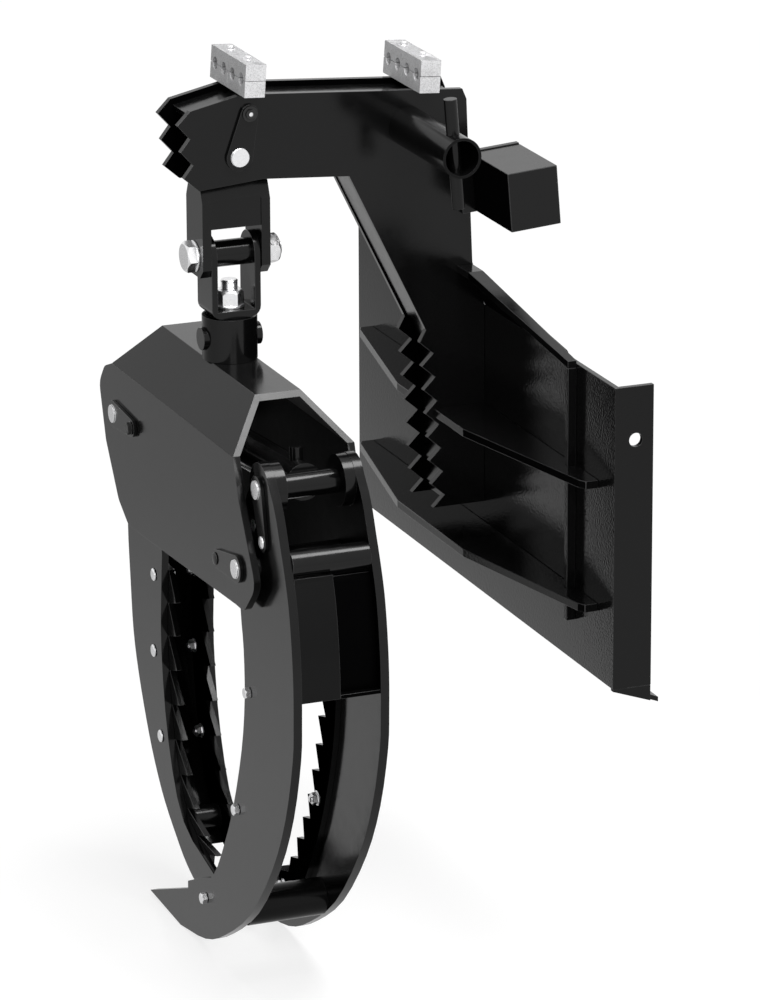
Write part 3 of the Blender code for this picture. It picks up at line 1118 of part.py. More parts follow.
def make_right_tong():
    mouth = right_mouth()
    spots = [right_point(s) for s in RIGHT_BOLT_SHARES]
    teeth = toothed_strip(mouth, RIGHT_STRIP_SHARES, 1, RIGHT_TEETH, RIGHT_TOOTH_ROOT,
                          RIGHT_TOOTH_ACROSS, RIGHT_TOOTH_UP)
    inner = RIGHT_HALF_X - RIGHT_THICK - GAP
    for side, end in ((1, "front"), (-1, "rear")):
        faces = sorted((PIN_X + side * RIGHT_HALF_X, PIN_X + side * (RIGHT_HALF_X - RIGHT_THICK)))
        plate = extruded(f"right_tong_plate_{end}", right_outline(), "X", *faces, BLACK, right_frame)
        start, stop = BASE_TUBE_WIDTH / 2 + GAP, RIGHT_HALF_X - RIGHT_THICK / 2
        weld(plate, round_bar("boss", (PIN_X + side * start, BASE_PIN_Y, BASE_PIN_HEIGHT),
                              (PIN_X + side * stop, BASE_PIN_Y, BASE_PIN_HEIGHT),
                              BASE_BOSS_OUTER / 2, None, right_frame))
        low, high = PIN_X - HEAD_HALF_X, PIN_X + HEAD_HALF_X
        for y, z in ((RIGHT_PIVOT_Y, RIGHT_PIVOT_HEIGHT), (BASE_PIN_Y, BASE_PIN_HEIGHT)):
            cut(plate, bore((low, y, z), (high, y, z), PIN_THICK / 2 + GAP, right_frame, ROUND_SIDES))
        cut_bolt_holes(plate, spots, faces, right_frame)
        if side > 0:
            keeper = base_keeper_place()
            for y, z, radius in ((*keeper, KEEPER_BOLT / 2), (*BAR_RIGHT, BAR_PIN / 2)):
                cut(plate, bore((low, y, z), (high, y, z), radius + GAP, right_frame))
        strip_faces = sorted((PIN_X + side * inner, PIN_X + side * (inner - STRIP_THICK)))
        strip = extruded(f"right_teeth_{end}", teeth, "X", *strip_faces, BLACK, right_frame)
        add_bolts(strip, spots, RIGHT_HALF_X, RIGHT_THICK, side, False, right_frame)
    tube = round_bar("right_pivot_tube", (PIN_X - inner, RIGHT_PIVOT_Y, RIGHT_PIVOT_HEIGHT),
                     (PIN_X + inner, RIGHT_PIVOT_Y, RIGHT_PIVOT_HEIGHT), PIVOT_TUBE_OUTER / 2, BLACK,
                     right_frame)
    cut(tube, bore((PIN_X - inner - OVERRUN, RIGHT_PIVOT_Y, RIGHT_PIVOT_HEIGHT),
                   (PIN_X + inner + OVERRUN, RIGHT_PIVOT_Y, RIGHT_PIVOT_HEIGHT), PIN_THICK / 2 + GAP,
                   right_frame, ROUND_SIDES))
    round_bar("lower_cross_tube", (PIN_X - inner, LOWER_TUBE_Y, LOWER_TUBE_HEIGHT),
              (PIN_X + inner, LOWER_TUBE_Y, LOWER_TUBE_HEIGHT), LOWER_TUBE_OUTER / 2, BLACK, right_frame)
    round_bar("upper_cross_tube", (PIN_X - inner, UPPER_TUBE_Y, UPPER_TUBE_HEIGHT),
              (PIN_X + inner, UPPER_TUBE_Y, UPPER_TUBE_HEIGHT), UPPER_TUBE_OUTER / 2, BLACK, right_frame)
    back = between_heights(flowing([right_point(s) for s in RIGHT_BACK_SHARES]), RIGHT_WEB_TOP,
                           RIGHT_WEB_FOOT)
    web = ([(y - RIGHT_WEB_INSET, z) for y, z in back]
           + [(y - RIGHT_WEB_INSET - WEB_THICK, z) for y, z in back[::-1]])
    extruded("right_web", web, "X", PIN_X - inner, PIN_X + inner, BLACK, right_frame)
    front = PIN_X + RIGHT_HALF_X + GAP
    pin = flag_pin("base_pin", "X", (BASE_PIN_Y, BASE_PIN_HEIGHT), base_keeper_place(),
                   PIN_X - RIGHT_HALF_X - PIN_PROUD, front, right_frame)
    half = BASE_TUBE_WIDTH / 2 + GAP
    ring = bore((PIN_X - half, BASE_PIN_Y, BASE_PIN_HEIGHT), (PIN_X + half, BASE_PIN_Y, BASE_PIN_HEIGHT),
                PIN_THICK, right_frame)
    cut(ring, bore((PIN_X - half - OVERRUN, BASE_PIN_Y, BASE_PIN_HEIGHT),
                   (PIN_X + half + OVERRUN, BASE_PIN_Y, BASE_PIN_HEIGHT), BASE_PIN_NECK / 2,
                   right_frame, ROUND_SIDES))
    cut(pin, ring)
    keeper_bolt("base_keeper_bolt", "X", base_keeper_place(), front, RIGHT_THICK, right_frame,
                LOW_HEAD_HIGH)
    inner_end = PIN_X + BAR_X - BAR_THICK / 2 - GAP - PIN_PROUD
    pin = round_bar("right_bar_pin", (inner_end, *BAR_RIGHT),
                    (PIN_X + RIGHT_HALF_X, *BAR_RIGHT), BAR_PIN / 2, ZINC, right_frame, SMALL_SIDES)
    weld(pin, round_bar("washer", (inner_end, *BAR_RIGHT), (inner_end + PIN_PROUD, *BAR_RIGHT),
                        BAR_EYE_RADIUS * 0.8, ZINC, right_frame, SMALL_SIDES))


def base_keeper_place():
    turn = math.radians(-73)
    return (BASE_PIN_Y + BASE_FLAG_LENGTH * math.cos(turn),
            BASE_PIN_HEIGHT + BASE_FLAG_LENGTH * math.sin(turn))


def make_cylinder():
    """Barrel with its base tube and ports, gland, and the rod with its piston and eye."""
    eye_point = Vector((PIN_X, LEFT_PIVOT_Y, LEFT_PIVOT_HEIGHT))
    base_point = Vector((PIN_X, BASE_PIN_Y, BASE_PIN_HEIGHT))
    along = (base_point - eye_point).normalized()
    length = (base_point - eye_point).length

    def at(place):
        return eye_point + along * place

    half = Vector((BASE_TUBE_WIDTH / 2, 0, 0))
    barrel_end = length - BASE_SINK
    barrel = round_bar("cylinder_barrel", at(BARREL_START), at(barrel_end), BARREL_OUTER / 2, BLACK,
                       barrel_frame)
    cut(barrel, bore(at(BARREL_START - OVERRUN), at(length - BARREL_WALL_END), BARREL_INNER / 2,
                     barrel_frame, ROUND_SIDES))
    base_tube = round_bar("base_tube", base_point - half, base_point + half, BASE_TUBE_OUTER / 2,
                          BLACK, barrel_frame)
    up = Vector((0, -along.z, along.y))
    ports = [round_bar("port", at(place) + up * (BARREL_OUTER / 2 - SINK * 2),
                       at(place) + up * (BARREL_OUTER / 2 + PORT_HEIGHT), PORT_OUTER / 2, BLACK,
                       barrel_frame, SMALL_SIDES)
             for place in (BARREL_START + PORT_INSET, barrel_end - PORT_INSET)]
    weld(barrel, base_tube, *ports)
    cut(barrel, bore(base_point - half * 1.2, base_point + half * 1.2, BASE_TUBE_BORE / 2,
                     barrel_frame, ROUND_SIDES))
    gland = round_bar("cylinder_gland", at(BARREL_START - GLAND_LENGTH), at(BARREL_START - GAP),
                      GLAND_OUTER / 2, STEEL, barrel_frame)
    weld(gland, round_bar("gland_inside", at(BARREL_START - SINK), at(BARREL_START + GLAND_INSIDE),
                          BARREL_INNER / 2 - GAP, STEEL, barrel_frame))
    cut(gland, bore(at(BARREL_START - GLAND_LENGTH - OVERRUN), at(BARREL_START + GLAND_INSIDE + OVERRUN),
                    ROD_DIAMETER / 2 + GAP, barrel_frame, ROUND_SIDES))
    rod = round_bar("cylinder_rod", at(ROD_EYE_RADIUS / 2), at(PISTON_PLACE + PISTON_LENGTH),
                    ROD_DIAMETER / 2, STEEL, rod_frame)
    piston = round_bar("piston", at(PISTON_PLACE), at(PISTON_PLACE + PISTON_LENGTH),
                       BARREL_INNER / 2 - GAP, STEEL, rod_frame)
    half = Vector((ROD_EYE_WIDTH / 2, 0, 0))
    eye = round_bar("rod_eye", eye_point - half, eye_point + half, ROD_EYE_RADIUS, STEEL, rod_frame)
    weld(rod, piston, eye)
    cut(rod, bore(eye_point - half * 1.2, eye_point + half * 1.2, PIN_THICK / 2 + GAP, rod_frame,
                  ROUND_SIDES))


def make_link_bar():
    """A flat bar with an eye at each end; it ties the tongs so that they open together."""
    left, right = Vector(BAR_LEFT), Vector(BAR_RIGHT)
    heading = math.degrees(math.atan2(right.y - left.y, right.x - left.x))
    across = Vector((-(right - left).normalized().y, (right - left).normalized().x)) * BAR_HALF_HEIGHT
    neck = (right - left).normalized() * math.sqrt(BAR_EYE_RADIUS ** 2 - BAR_HALF_HEIGHT ** 2)
    swing = math.degrees(math.asin(BAR_HALF_HEIGHT / BAR_EYE_RADIUS))
    outline = (arc(left, BAR_EYE_RADIUS, heading + swing, heading + 360 - swing, 14)
               + [tuple(right - neck - across)]
               + arc(right, BAR_EYE_RADIUS, heading - 180 + swing, heading + 180 - swing, 14)[1:]
               + [tuple(left + neck + across)])
    faces = (PIN_X + BAR_X - BAR_THICK / 2, PIN_X + BAR_X + BAR_THICK / 2)
    bar = extruded("link_bar", outline[:-1], "X", *faces, BLACK, bar_frame)
    low, high = faces[0] - OVERRUN, faces[1] + OVERRUN
    cut(bar, bore((low, *BAR_LEFT), (high, *BAR_LEFT), BAR_PIN / 2 + BAR_EYE_CLEARANCE, bar_frame),
        bore((low, *BAR_RIGHT), (high, *BAR_RIGHT), BAR_PIN / 2 + GAP, bar_frame))


make_mounting_plate()
make_ribs()
make_stiffener()
make_top_gusset("top_gusset_near", 1)
make_top_gusset("top_gusset_far", -1)
make_boom_sides()
make_straps()
make_clamps()
make_side_tube()
make_side_box()
make_tip_pin()
make_upper_link()
make_cross_bolt()
make_yoke()
make_swivel()
make_hood()
make_head_plates()
make_left_tong()
make_right_tong()
make_cylinder()
make_link_bar()
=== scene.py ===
"""The log grapple dressed for its picture: painted plates, plated bolts, alloy hose clamps.

Metres, +Z up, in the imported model's own frame. Every piece rides on the body that carries it.
"""
import json
import math

import bpy
from mathutils import Matrix, Vector

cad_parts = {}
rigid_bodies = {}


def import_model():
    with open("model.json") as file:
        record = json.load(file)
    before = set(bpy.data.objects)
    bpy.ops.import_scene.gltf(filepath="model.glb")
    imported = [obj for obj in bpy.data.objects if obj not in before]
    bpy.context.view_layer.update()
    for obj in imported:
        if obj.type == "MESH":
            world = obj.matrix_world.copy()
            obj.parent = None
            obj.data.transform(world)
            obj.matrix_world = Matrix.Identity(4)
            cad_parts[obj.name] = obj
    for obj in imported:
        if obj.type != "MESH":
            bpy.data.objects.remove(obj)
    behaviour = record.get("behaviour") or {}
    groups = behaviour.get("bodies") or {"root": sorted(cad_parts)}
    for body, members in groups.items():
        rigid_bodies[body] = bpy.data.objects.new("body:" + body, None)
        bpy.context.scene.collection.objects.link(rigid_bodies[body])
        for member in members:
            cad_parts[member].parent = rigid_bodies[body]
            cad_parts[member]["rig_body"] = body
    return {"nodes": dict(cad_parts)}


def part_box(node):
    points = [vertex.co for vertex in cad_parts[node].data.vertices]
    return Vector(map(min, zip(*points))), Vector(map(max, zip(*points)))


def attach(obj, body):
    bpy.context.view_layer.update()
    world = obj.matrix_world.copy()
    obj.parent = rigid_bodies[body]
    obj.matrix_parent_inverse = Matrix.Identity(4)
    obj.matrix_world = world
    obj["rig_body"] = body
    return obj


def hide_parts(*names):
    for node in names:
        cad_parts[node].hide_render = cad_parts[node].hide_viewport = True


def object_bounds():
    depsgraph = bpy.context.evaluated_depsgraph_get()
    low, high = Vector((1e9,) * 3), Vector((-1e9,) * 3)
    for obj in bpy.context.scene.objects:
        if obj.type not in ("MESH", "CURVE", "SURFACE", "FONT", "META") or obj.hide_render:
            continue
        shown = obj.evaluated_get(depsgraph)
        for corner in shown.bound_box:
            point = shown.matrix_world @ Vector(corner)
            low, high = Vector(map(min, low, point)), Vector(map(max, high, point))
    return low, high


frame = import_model()
cad_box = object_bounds()
bpy.ops.object.select_all(action="DESELECT")

# Places of pins and bolts, in metres
HEAD_X = 0.462                       # the middle plane of the head and of both tongs
TIP_PIN = (0.0, 0.5729)
CROSS_HEIGHT = 0.392
YOKE_FLOOR = 0.2973
LEFT_PIVOT = (-0.286, 0.037)
RIGHT_PIVOT = (0.323, -0.065)
BASE_PIN = (0.363, 0.083)
LEFT_KEEPER = (-0.191, 0.037)
RIGHT_KEEPER = (0.2285, -0.0749)
BASE_KEEPER = (0.3887, -0.0012)
LEFT_STRIP_BOLTS = [(-0.2646, -0.264), (-0.271, -0.4095), (-0.241, -0.5619)]
RIGHT_STRIP_BOLTS = [(0.307, -0.2942), (0.245, -0.5273), (0.08, -0.7503)]
HEAD_FACE = HEAD_X + 0.1095
LEFT_FACE = HEAD_X + 0.050
RIGHT_FACE = HEAD_X + 0.086
LEFT_STRIP_INNER = 0.050 - 0.0127 - 0.0003 - 0.010
RIGHT_STRIP_INNER = 0.086 - 0.0155 - 0.0003 - 0.010
FLAG_THICK = 0.006
GAP = 0.0003
ARM_UP = Vector((-0.0694, 0.0, 0.9976))
CLAMP_TOPS = {"rear": (0.1206, 0.7147), "front": (0.4394, 0.7369)}
CLAMP_BOLT_SPREAD = 0.0416

# Finishes
PAINT = (0.0027, 0.0027, 0.0028)
PAINT_DUSTY = (0.0066, 0.0066, 0.0064)
# Broken edges are painted lighter than the faces: a painted highlight
PAINT_EDGE_HIGHLIGHT = (0.016, 0.016, 0.0165)
EDGE_WIDTH = 0.0009
FINE_EDGE = 0.0006

# How meshes are cleaned and smoothed, angles in degrees
MERGE_DISTANCE = 0.00001
LEVEL_ANGLE = 0.6                    # faces that differ by less are one flat face
SAME_PLANE = 0.3                     # a smaller bend is no bend at all
BEVEL_ANGLE = 28
ROUND = 20                           # curved outlines are smoothed below this bend
TURNED = 30                          # the same for lathe and hexagon pieces
FLAT = 8                             # the same for plates, whose bends stay crisp


# --- Shared effects, built once -------------------------------------------------------------
def effect(name, inputs, outputs):
    """An empty node group with named sockets."""
    group = bpy.data.node_groups.new(name, "ShaderNodeTree")
    for label, kind, value in inputs:
        socket = group.interface.new_socket(label, in_out="INPUT", socket_type=kind)
        socket.default_value = value
    for label, kind in outputs:
        group.interface.new_socket(label, in_out="OUTPUT", socket_type=kind)
    start = group.nodes.new("NodeGroupInput")
    end = group.nodes.new("NodeGroupOutput")
    return group, start, end


def add(group, kind, **settings):
    node = group.nodes.new(kind)
    for key, value in settings.items():
        if key.startswith("in_"):
            node.inputs[key[3:].replace("_", " ")].default_value = value
        else:
            setattr(node, key, value)
    return node


def math_node(group, operation, first, second=None, clamp=False):
    node = group.nodes.new("ShaderNodeMath")
    node.operation = operation
    node.use_clamp = clamp
    for socket, value in zip(node.inputs, (first, second)):
        if value is None:
            continue
        if isinstance(value, (int, float)):
            socket.default_value = value
        else:
            group.links.new(value, socket)
    return node.outputs[0]


def noise(group, place, scale, detail, rough):
    node = add(group, "ShaderNodeTexNoise", in_Detail=detail, in_Roughness=rough)
    group.links.new(place, node.inputs["Vector"])
    if isinstance(scale, (int, float)):
        node.inputs["Scale"].default_value = scale
    else:
        group.links.new(scale, node.inputs["Scale"])
    return node.outputs["Fac"]


def spread(group, value, low, high, to_low, to_high):
    node = add(group, "ShaderNodeMapRange", clamp=True)
    group.links.new(value, node.inputs["Value"])
    for label, number in (("From Min", low), ("From Max", high), ("To Min", to_low),
                          ("To Max", to_high)):
        if isinstance(number, (int, float)):
            node.inputs[label].default_value = number
        else:
            group.links.new(number, node.inputs[label])
    return node.outputs["Result"]


def blend_colours(group, share, first, second):
    node = add(group, "ShaderNodeMix", data_type="RGBA")
    group.links.new(share, node.inputs[0])
    group.links.new(first, node.inputs[6])
    group.links.new(second, node.inputs[7])
    return node.outputs[2]


SURFACE = [("Colour", "NodeSocketColor"), ("Roughness", "NodeSocketFloat"),
           ("Height", "NodeSocketFloat")]


def build_paint_film():
    """Sprayed enamel: orange peel, slow changes of gloss, a thin film of dust that lies uppermost."""
    group, start, end = effect(
        "paint_film",
        [("Colour", "NodeSocketColor", (*PAINT, 1)),
         ("Dust Colour", "NodeSocketColor", (*PAINT_DUSTY, 1)),
         ("Gloss", "NodeSocketFloat", 0.16), ("Dust", "NodeSocketFloat", 0.5),
         ("Peel Scale", "NodeSocketFloat", 240.0)],
        SURFACE)
    place = add(group, "ShaderNodeTexCoord").outputs["Object"]
    peel = noise(group, place, start.outputs["Peel Scale"], 1.5, 0.45)
    cloud = noise(group, place, 5.5, 4.0, 0.6)
    smear = noise(group, place, 38.0, 5.0, 0.68)
    speck = noise(group, place, 900.0, 2.0, 0.5)
    facing = add(group, "ShaderNodeSeparateXYZ")
    normal = add(group, "ShaderNodeNewGeometry")
    group.links.new(normal.outputs["Normal"], facing.inputs[0])
    upward = spread(group, facing.outputs["Z"], 0.1, 1.0, 0.35, 1.0)
    film = math_node(group, "MULTIPLY", spread(group, cloud, 0.38, 0.68, 0.0, 1.0),
                     spread(group, smear, 0.34, 0.66, 0.25, 1.0))
    film = math_node(group, "MULTIPLY", film, upward)
    film = math_node(group, "MULTIPLY", film, start.outputs["Dust"], clamp=True)
    specks = spread(group, speck, 0.72, 0.78, 0.0, 0.35)
    film = math_node(group, "ADD", film, math_node(group, "MULTIPLY", specks, start.outputs["Dust"]),
                     clamp=True)
    colour = blend_colours(group, film, start.outputs["Colour"], start.outputs["Dust Colour"])
    uneven = spread(group, smear, 0.3, 0.7, -0.025, 0.035)
    rough = math_node(group, "ADD", start.outputs["Gloss"], uneven)
    rough = math_node(group, "ADD", rough, math_node(group, "MULTIPLY", film, 0.12))
    group.links.new(colour, end.inputs["Colour"])
    group.links.new(rough, end.inputs["Roughness"])
    group.links.new(peel, end.inputs["Height"])
    return group


def build_plated_grain():
    """Zinc or bare steel: fine grain, soft spangle and handling marks."""
    group, start, end = effect(
        "plated_grain",
        [("Colour", "NodeSocketColor", (0.7, 0.7, 0.7, 1)),
         ("Dull Colour", "NodeSocketColor", (0.45, 0.45, 0.44, 1)),
         ("Gloss", "NodeSocketFloat", 0.3), ("Grain Scale", "NodeSocketFloat", 600.0)],
        SURFACE)
    place = add(group, "ShaderNodeTexCoord").outputs["Object"]
    grain = noise(group, place, start.outputs["Grain Scale"], 3.0, 0.6)
    marks = noise(group, place, 90.0, 5.0, 0.7)
    cells = add(group, "ShaderNodeTexVoronoi", in_Scale=260.0)
    group.links.new(place, cells.inputs["Vector"])
    spangle = add(group, "ShaderNodeSeparateColor")
    group.links.new(cells.outputs["Color"], spangle.inputs[0])
    tint = spread(group, spangle.outputs[0], 0.0, 1.0, 0.0, 0.22)
    share = math_node(group, "ADD", tint, spread(group, marks, 0.5, 0.8, 0.0, 0.3), clamp=True)
    colour = blend_colours(group, share, start.outputs["Colour"], start.outputs["Dull Colour"])
    uneven = spread(group, marks, 0.35, 0.7, -0.04, 0.14)
    rough = math_node(group, "ADD", start.outputs["Gloss"], uneven)
    group.links.new(colour, end.inputs["Colour"])
    group.links.new(rough, end.inputs["Roughness"])
    group.links.new(grain, end.inputs["Height"])
    return group


def build_blasted_speckle():
    """Blasted alloy: salt-and-pepper speckle over a soft cloud, with a gritty surface."""
    group, start, end = effect(
        "blasted_speckle",
        [("Colour", "NodeSocketColor", (0.6, 0.6, 0.6, 1)),
         ("Pit Colour", "NodeSocketColor", (0.3, 0.3, 0.3, 1)),
         ("Speckle Scale", "NodeSocketFloat", 700.0)],
        SURFACE)
    place = add(group, "ShaderNodeTexCoord").outputs["Object"]
    speckle = noise(group, place, start.outputs["Speckle Scale"], 2.0, 0.75)
    cloud = noise(group, place, 42.0, 4.0, 0.6)
    pits = spread(group, speckle, 0.42, 0.66, 0.0, 0.85)
    share = math_node(group, "ADD", pits, spread(group, cloud, 0.4, 0.7, -0.1, 0.2), clamp=True)
    colour = blend_colours(group, share, start.outputs["Colour"], start.outputs["Pit Colour"])
    rough = spread(group, speckle, 0.3, 0.7, 0.42, 0.62)
    group.links.new(colour, end.inputs["Colour"])
    group.links.new(rough, end.inputs["Roughness"])
    group.links.new(speckle, end.inputs["Height"])
    return group


PAINT_FILM = build_paint_film()
PLATED_GRAIN = build_plated_grain()
BLASTED_SPECKLE = build_blasted_speckle()


def finish_material(name, group, values, bump, height, **constants):
    """A Principled material fed by one shared effect; what never varies is set on the shader itself."""
    material = bpy.data.materials.new(name)
    material.use_nodes = True
    tree = material.node_tree
    shader = tree.nodes["Principled BSDF"]
    skin = tree.nodes.new("ShaderNodeGroup")
    skin.node_tree = group
    for label, value in values.items():
        skin.inputs[label].default_value = value
    relief = tree.nodes.new("ShaderNodeBump")
    relief.inputs["Strength"].default_value = bump
    relief.inputs["Distance"].default_value = height
    tree.links.new(skin.outputs["Colour"], shader.inputs["Base Color"])
    tree.links.new(skin.outputs["Roughness"], shader.inputs["Roughness"])
    tree.links.new(skin.outputs["Height"], relief.inputs["Height"])
    tree.links.new(relief.outputs["Normal"], shader.inputs["Normal"])
    for label, value in constants.items():
        shader.inputs[label.replace("_", " ")].default_value = value
    return material


def colour4(colour):
    return (*colour, 1.0)


gloss_paint = finish_material(
    "gloss_black_enamel", PAINT_FILM,
    {"Colour": colour4(PAINT), "Dust Colour": colour4(PAINT_DUSTY), "Gloss": 0.15, "Dust": 0.6,
     "Peel Scale": 260.0},
    0.05, 0.0005, Specular_IOR_Level=0.25)
plate_paint = finish_material(
    "mounting_plate_enamel", PAINT_FILM,
    {"Colour": colour4(PAINT), "Dust Colour": colour4(PAINT_DUSTY), "Gloss": 0.12, "Dust": 0.15,
     "Peel Scale": 230.0},
    0.42, 0.0007, Specular_IOR_Level=0.20)
# Painted highlight: a lighter, more reflective enamel on the broken edges, as if they caught the light
edge_highlight_paint = finish_material(
    "thin_enamel_on_edges", PAINT_FILM,
    {"Colour": colour4(PAINT_EDGE_HIGHLIGHT), "Dust Colour": colour4((0.05, 0.05, 0.05)), "Gloss": 0.22,
     "Dust": 0.8, "Peel Scale": 320.0},
    0.05, 0.0004, Specular_IOR_Level=0.45)
# Painted shade: a near-black enamel that hardly reflects, for faces that lie in shade
painted_shade_enamel = finish_material(
    "enamel_darkened_for_painted_shade", PAINT_FILM,
    {"Colour": colour4((0.0008, 0.0008, 0.0009)), "Dust Colour": colour4((0.002, 0.002, 0.002)),
     "Gloss": 0.34, "Dust": 0.8, "Peel Scale": 200.0},
    0.10, 0.0006, Specular_IOR_Level=0.01)
# Painted reflection: a lighter grey enamel in place of the light that a face mirrors
painted_reflection_enamel = finish_material(
    "enamel_lightened_for_painted_reflection", PAINT_FILM,
    {"Colour": colour4((0.075, 0.075, 0.076)), "Dust Colour": colour4((0.12, 0.12, 0.12)),
     "Gloss": 0.3, "Dust": 0.8, "Peel Scale": 200.0},
    0.10, 0.0006, Specular_IOR_Level=0.3)
# Painted shade: the same enamel, reflecting less, for surfaces that should render darker
shaded_paint = finish_material(
    "enamel_in_shade", PAINT_FILM,
    {"Colour": colour4(PAINT), "Dust Colour": colour4(PAINT_DUSTY), "Gloss": 0.17, "Dust": 0.6,
     "Peel Scale": 260.0},
    0.05, 0.0005, Specular_IOR_Level=0.13)
cap_black = finish_material(
    "black_oxide", PLATED_GRAIN,
    {"Colour": colour4((0.012, 0.012, 0.012)), "Dull Colour": colour4((0.025, 0.025, 0.025)),
     "Gloss": 0.32, "Grain Scale": 800.0},
    0.05, 0.0002, Specular_IOR_Level=0.4)
zinc = finish_material(
    "bright_zinc_plate", PLATED_GRAIN,
    {"Colour": colour4((0.84, 0.84, 0.85)), "Dull Colour": colour4((0.62, 0.62, 0.62)),
     "Gloss": 0.27, "Grain Scale": 700.0},
    0.06, 0.0002, Metallic=1.0)
rod_chrome = finish_material(
    "ground_chrome", PLATED_GRAIN,
    {"Colour": colour4((0.66, 0.66, 0.67)), "Dull Colour": colour4((0.5, 0.5, 0.5)),
     "Gloss": 0.14, "Grain Scale": 1200.0},
    0.03, 0.0001, Metallic=1.0)
alloy = finish_material(
    "blasted_clamp_alloy", BLASTED_SPECKLE,
    {"Colour": colour4((0.80, 0.80, 0.81)), "Pit Colour": colour4((0.46, 0.46, 0.465)),
     "Speckle Scale": 560.0},
    0.25, 0.0003, Metallic=0.1)


# --- Bench work: how pieces are shaped ------------------------------------------------------
def only(piece):
    bpy.ops.object.select_all(action="DESELECT")
    piece.select_set(True)
    bpy.context.view_layer.objects.active = piece
    return piece


def edit(piece, *steps):
    """Runs edit-mode steps on a whole piece."""
    only(piece)
    bpy.ops.object.mode_set(mode="EDIT")
    bpy.ops.mesh.select_mode(type="VERT")
    bpy.ops.mesh.select_all(action="SELECT")
    for step in steps:
        step()
    bpy.ops.object.mode_set(mode="OBJECT")
    return piece


def apply_change(piece, kind, **settings):
    change = piece.modifiers.new(kind.lower(), kind)
    for key, value in settings.items():
        setattr(change, key, value)
    only(piece)
    bpy.ops.object.modifier_apply(modifier=change.name)
    return piece


def pick(piece, kind, test):
    """Enters edit mode with only those corners (VERT) or faces (FACE) selected that pass a test."""
    only(piece)
    bpy.ops.object.mode_set(mode="EDIT")
    bpy.ops.mesh.select_mode(type=kind)
    bpy.ops.mesh.select_all(action="DESELECT")
    bpy.ops.object.mode_set(mode="OBJECT")
    for part in piece.data.vertices if kind == "VERT" else piece.data.polygons:
        part.select = test(part)
    bpy.ops.object.mode_set(mode="EDIT")


def nudged(piece, test, step):
    """Moves the corners whose place passes a test."""
    pick(piece, "VERT", lambda vert: test(vert.co))
    bpy.ops.transform.translate(value=step)
    bpy.ops.object.mode_set(mode="OBJECT")
    return piece


def moved_end(piece, test, step):
    """Draws out the faces of one end of a piece."""
    pick(piece, "FACE", lambda face: test(face.center, face.normal))
    bpy.ops.mesh.extrude_region_move(TRANSFORM_OT_translate={"value": step})
    bpy.ops.object.mode_set(mode="OBJECT")
    return piece


def shifted(piece, step):
    piece.data.transform(Matrix.Translation(step))
    return piece


def started(name, add_primitive, **settings):
    """A new primitive to shape, alone in the selection and with its place worked into its mesh."""
    bpy.ops.object.select_all(action="DESELECT")
    add_primitive(**settings)
    piece = bpy.context.active_object
    piece.name = name
    bpy.ops.object.transform_apply()
    return piece


def neighbours(piece):
    """For each face, the faces that share an edge with it."""
    faces = piece.data.polygons
    sharing = {}
    for face in faces:
        for key in face.edge_keys:
            sharing.setdefault(key, []).append(face.index)
    return [(face, [faces[i] for key in face.edge_keys for i in sharing[key] if i != face.index])
            for face in faces]


def bend(face, other):
    return math.degrees(face.normal.angle(other.normal, 0.0))


def shade(piece, angle=ROUND):
    """Smooths what is round and leaves every flat face flat."""
    only(piece)
    bpy.ops.object.shade_smooth_by_angle(angle=math.radians(angle))
    for face, others in neighbours(piece):
        face.use_smooth = any(SAME_PLANE < bend(face, other) < angle for other in others)
    return piece


def select_everything():
    bpy.ops.mesh.select_all(action="SELECT")


def merge_corners():
    bpy.ops.mesh.remove_doubles(threshold=MERGE_DISTANCE)


def closed_up():
    merge_corners()
    select_everything()
    bpy.ops.mesh.normals_make_consistent(inside=False)


def copied(node, name):
    """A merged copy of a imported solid's mesh, its flat faces whole again."""
    piece = bpy.data.objects.new(name, frame["nodes"][node].data.copy())
    bpy.context.scene.collection.objects.link(piece)
    piece.data.materials.clear()
    only(piece)
    bpy.ops.mesh.customdata_custom_splitnormals_clear()
    return edit(piece, merge_corners, select_everything,
                lambda: bpy.ops.mesh.dissolve_limited(angle_limit=math.radians(LEVEL_ANGLE)))


def broken_edges(piece, width, smooth=ROUND, edge_slot=1):
    """Breaks the sharp edges of a piece, as paint and deburring do, and smooths what is curved."""
    # The bevel's faces take the edge slot, whose lighter enamel is a painted highlight
    apply_change(piece, "BEVEL", width=width, segments=2, limit_method="ANGLE",
                 angle_limit=math.radians(BEVEL_ANGLE), material=edge_slot, use_clamp_overlap=True)
    for face, others in neighbours(piece):
        if face.material_index == edge_slot:
            level = [o for o in others if o.material_index != edge_slot and bend(face, o) < 3]
            face.material_index = level[0].material_index if level else edge_slot
    return shade(piece, smooth)


def settle(piece, body, slot, *nodes):
    """Puts a finished piece on its body and hides the nodes that it stands for; its slot is not used.
    """
    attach(piece, body)
    if nodes:
        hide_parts(*nodes)
    return piece


def body_of(node):
    return frame["nodes"][node]["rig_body"]


def give(piece, *materials):
    for material in materials:
        piece.data.materials.append(material)
    return piece


def recolour(piece, test, slot):
    """Gives another material to the faces that pass a test."""
    for face in piece.data.polygons:
        if test(face):
            face.material_index = slot
    return piece


def cut_away(piece, point, direction):
    """Cuts off what lies beyond a plane and closes the cut."""
    return edit(piece, lambda: bpy.ops.mesh.bisect(plane_co=point, plane_no=direction, use_fill=True,
                                                   clear_outer=True),
                select_everything, closed_up)


def parted(piece, point, direction):
    """Draws a line across a piece's faces where a plane meets them."""
    return edit(piece, lambda: bpy.ops.mesh.bisect(plane_co=point, plane_no=direction))


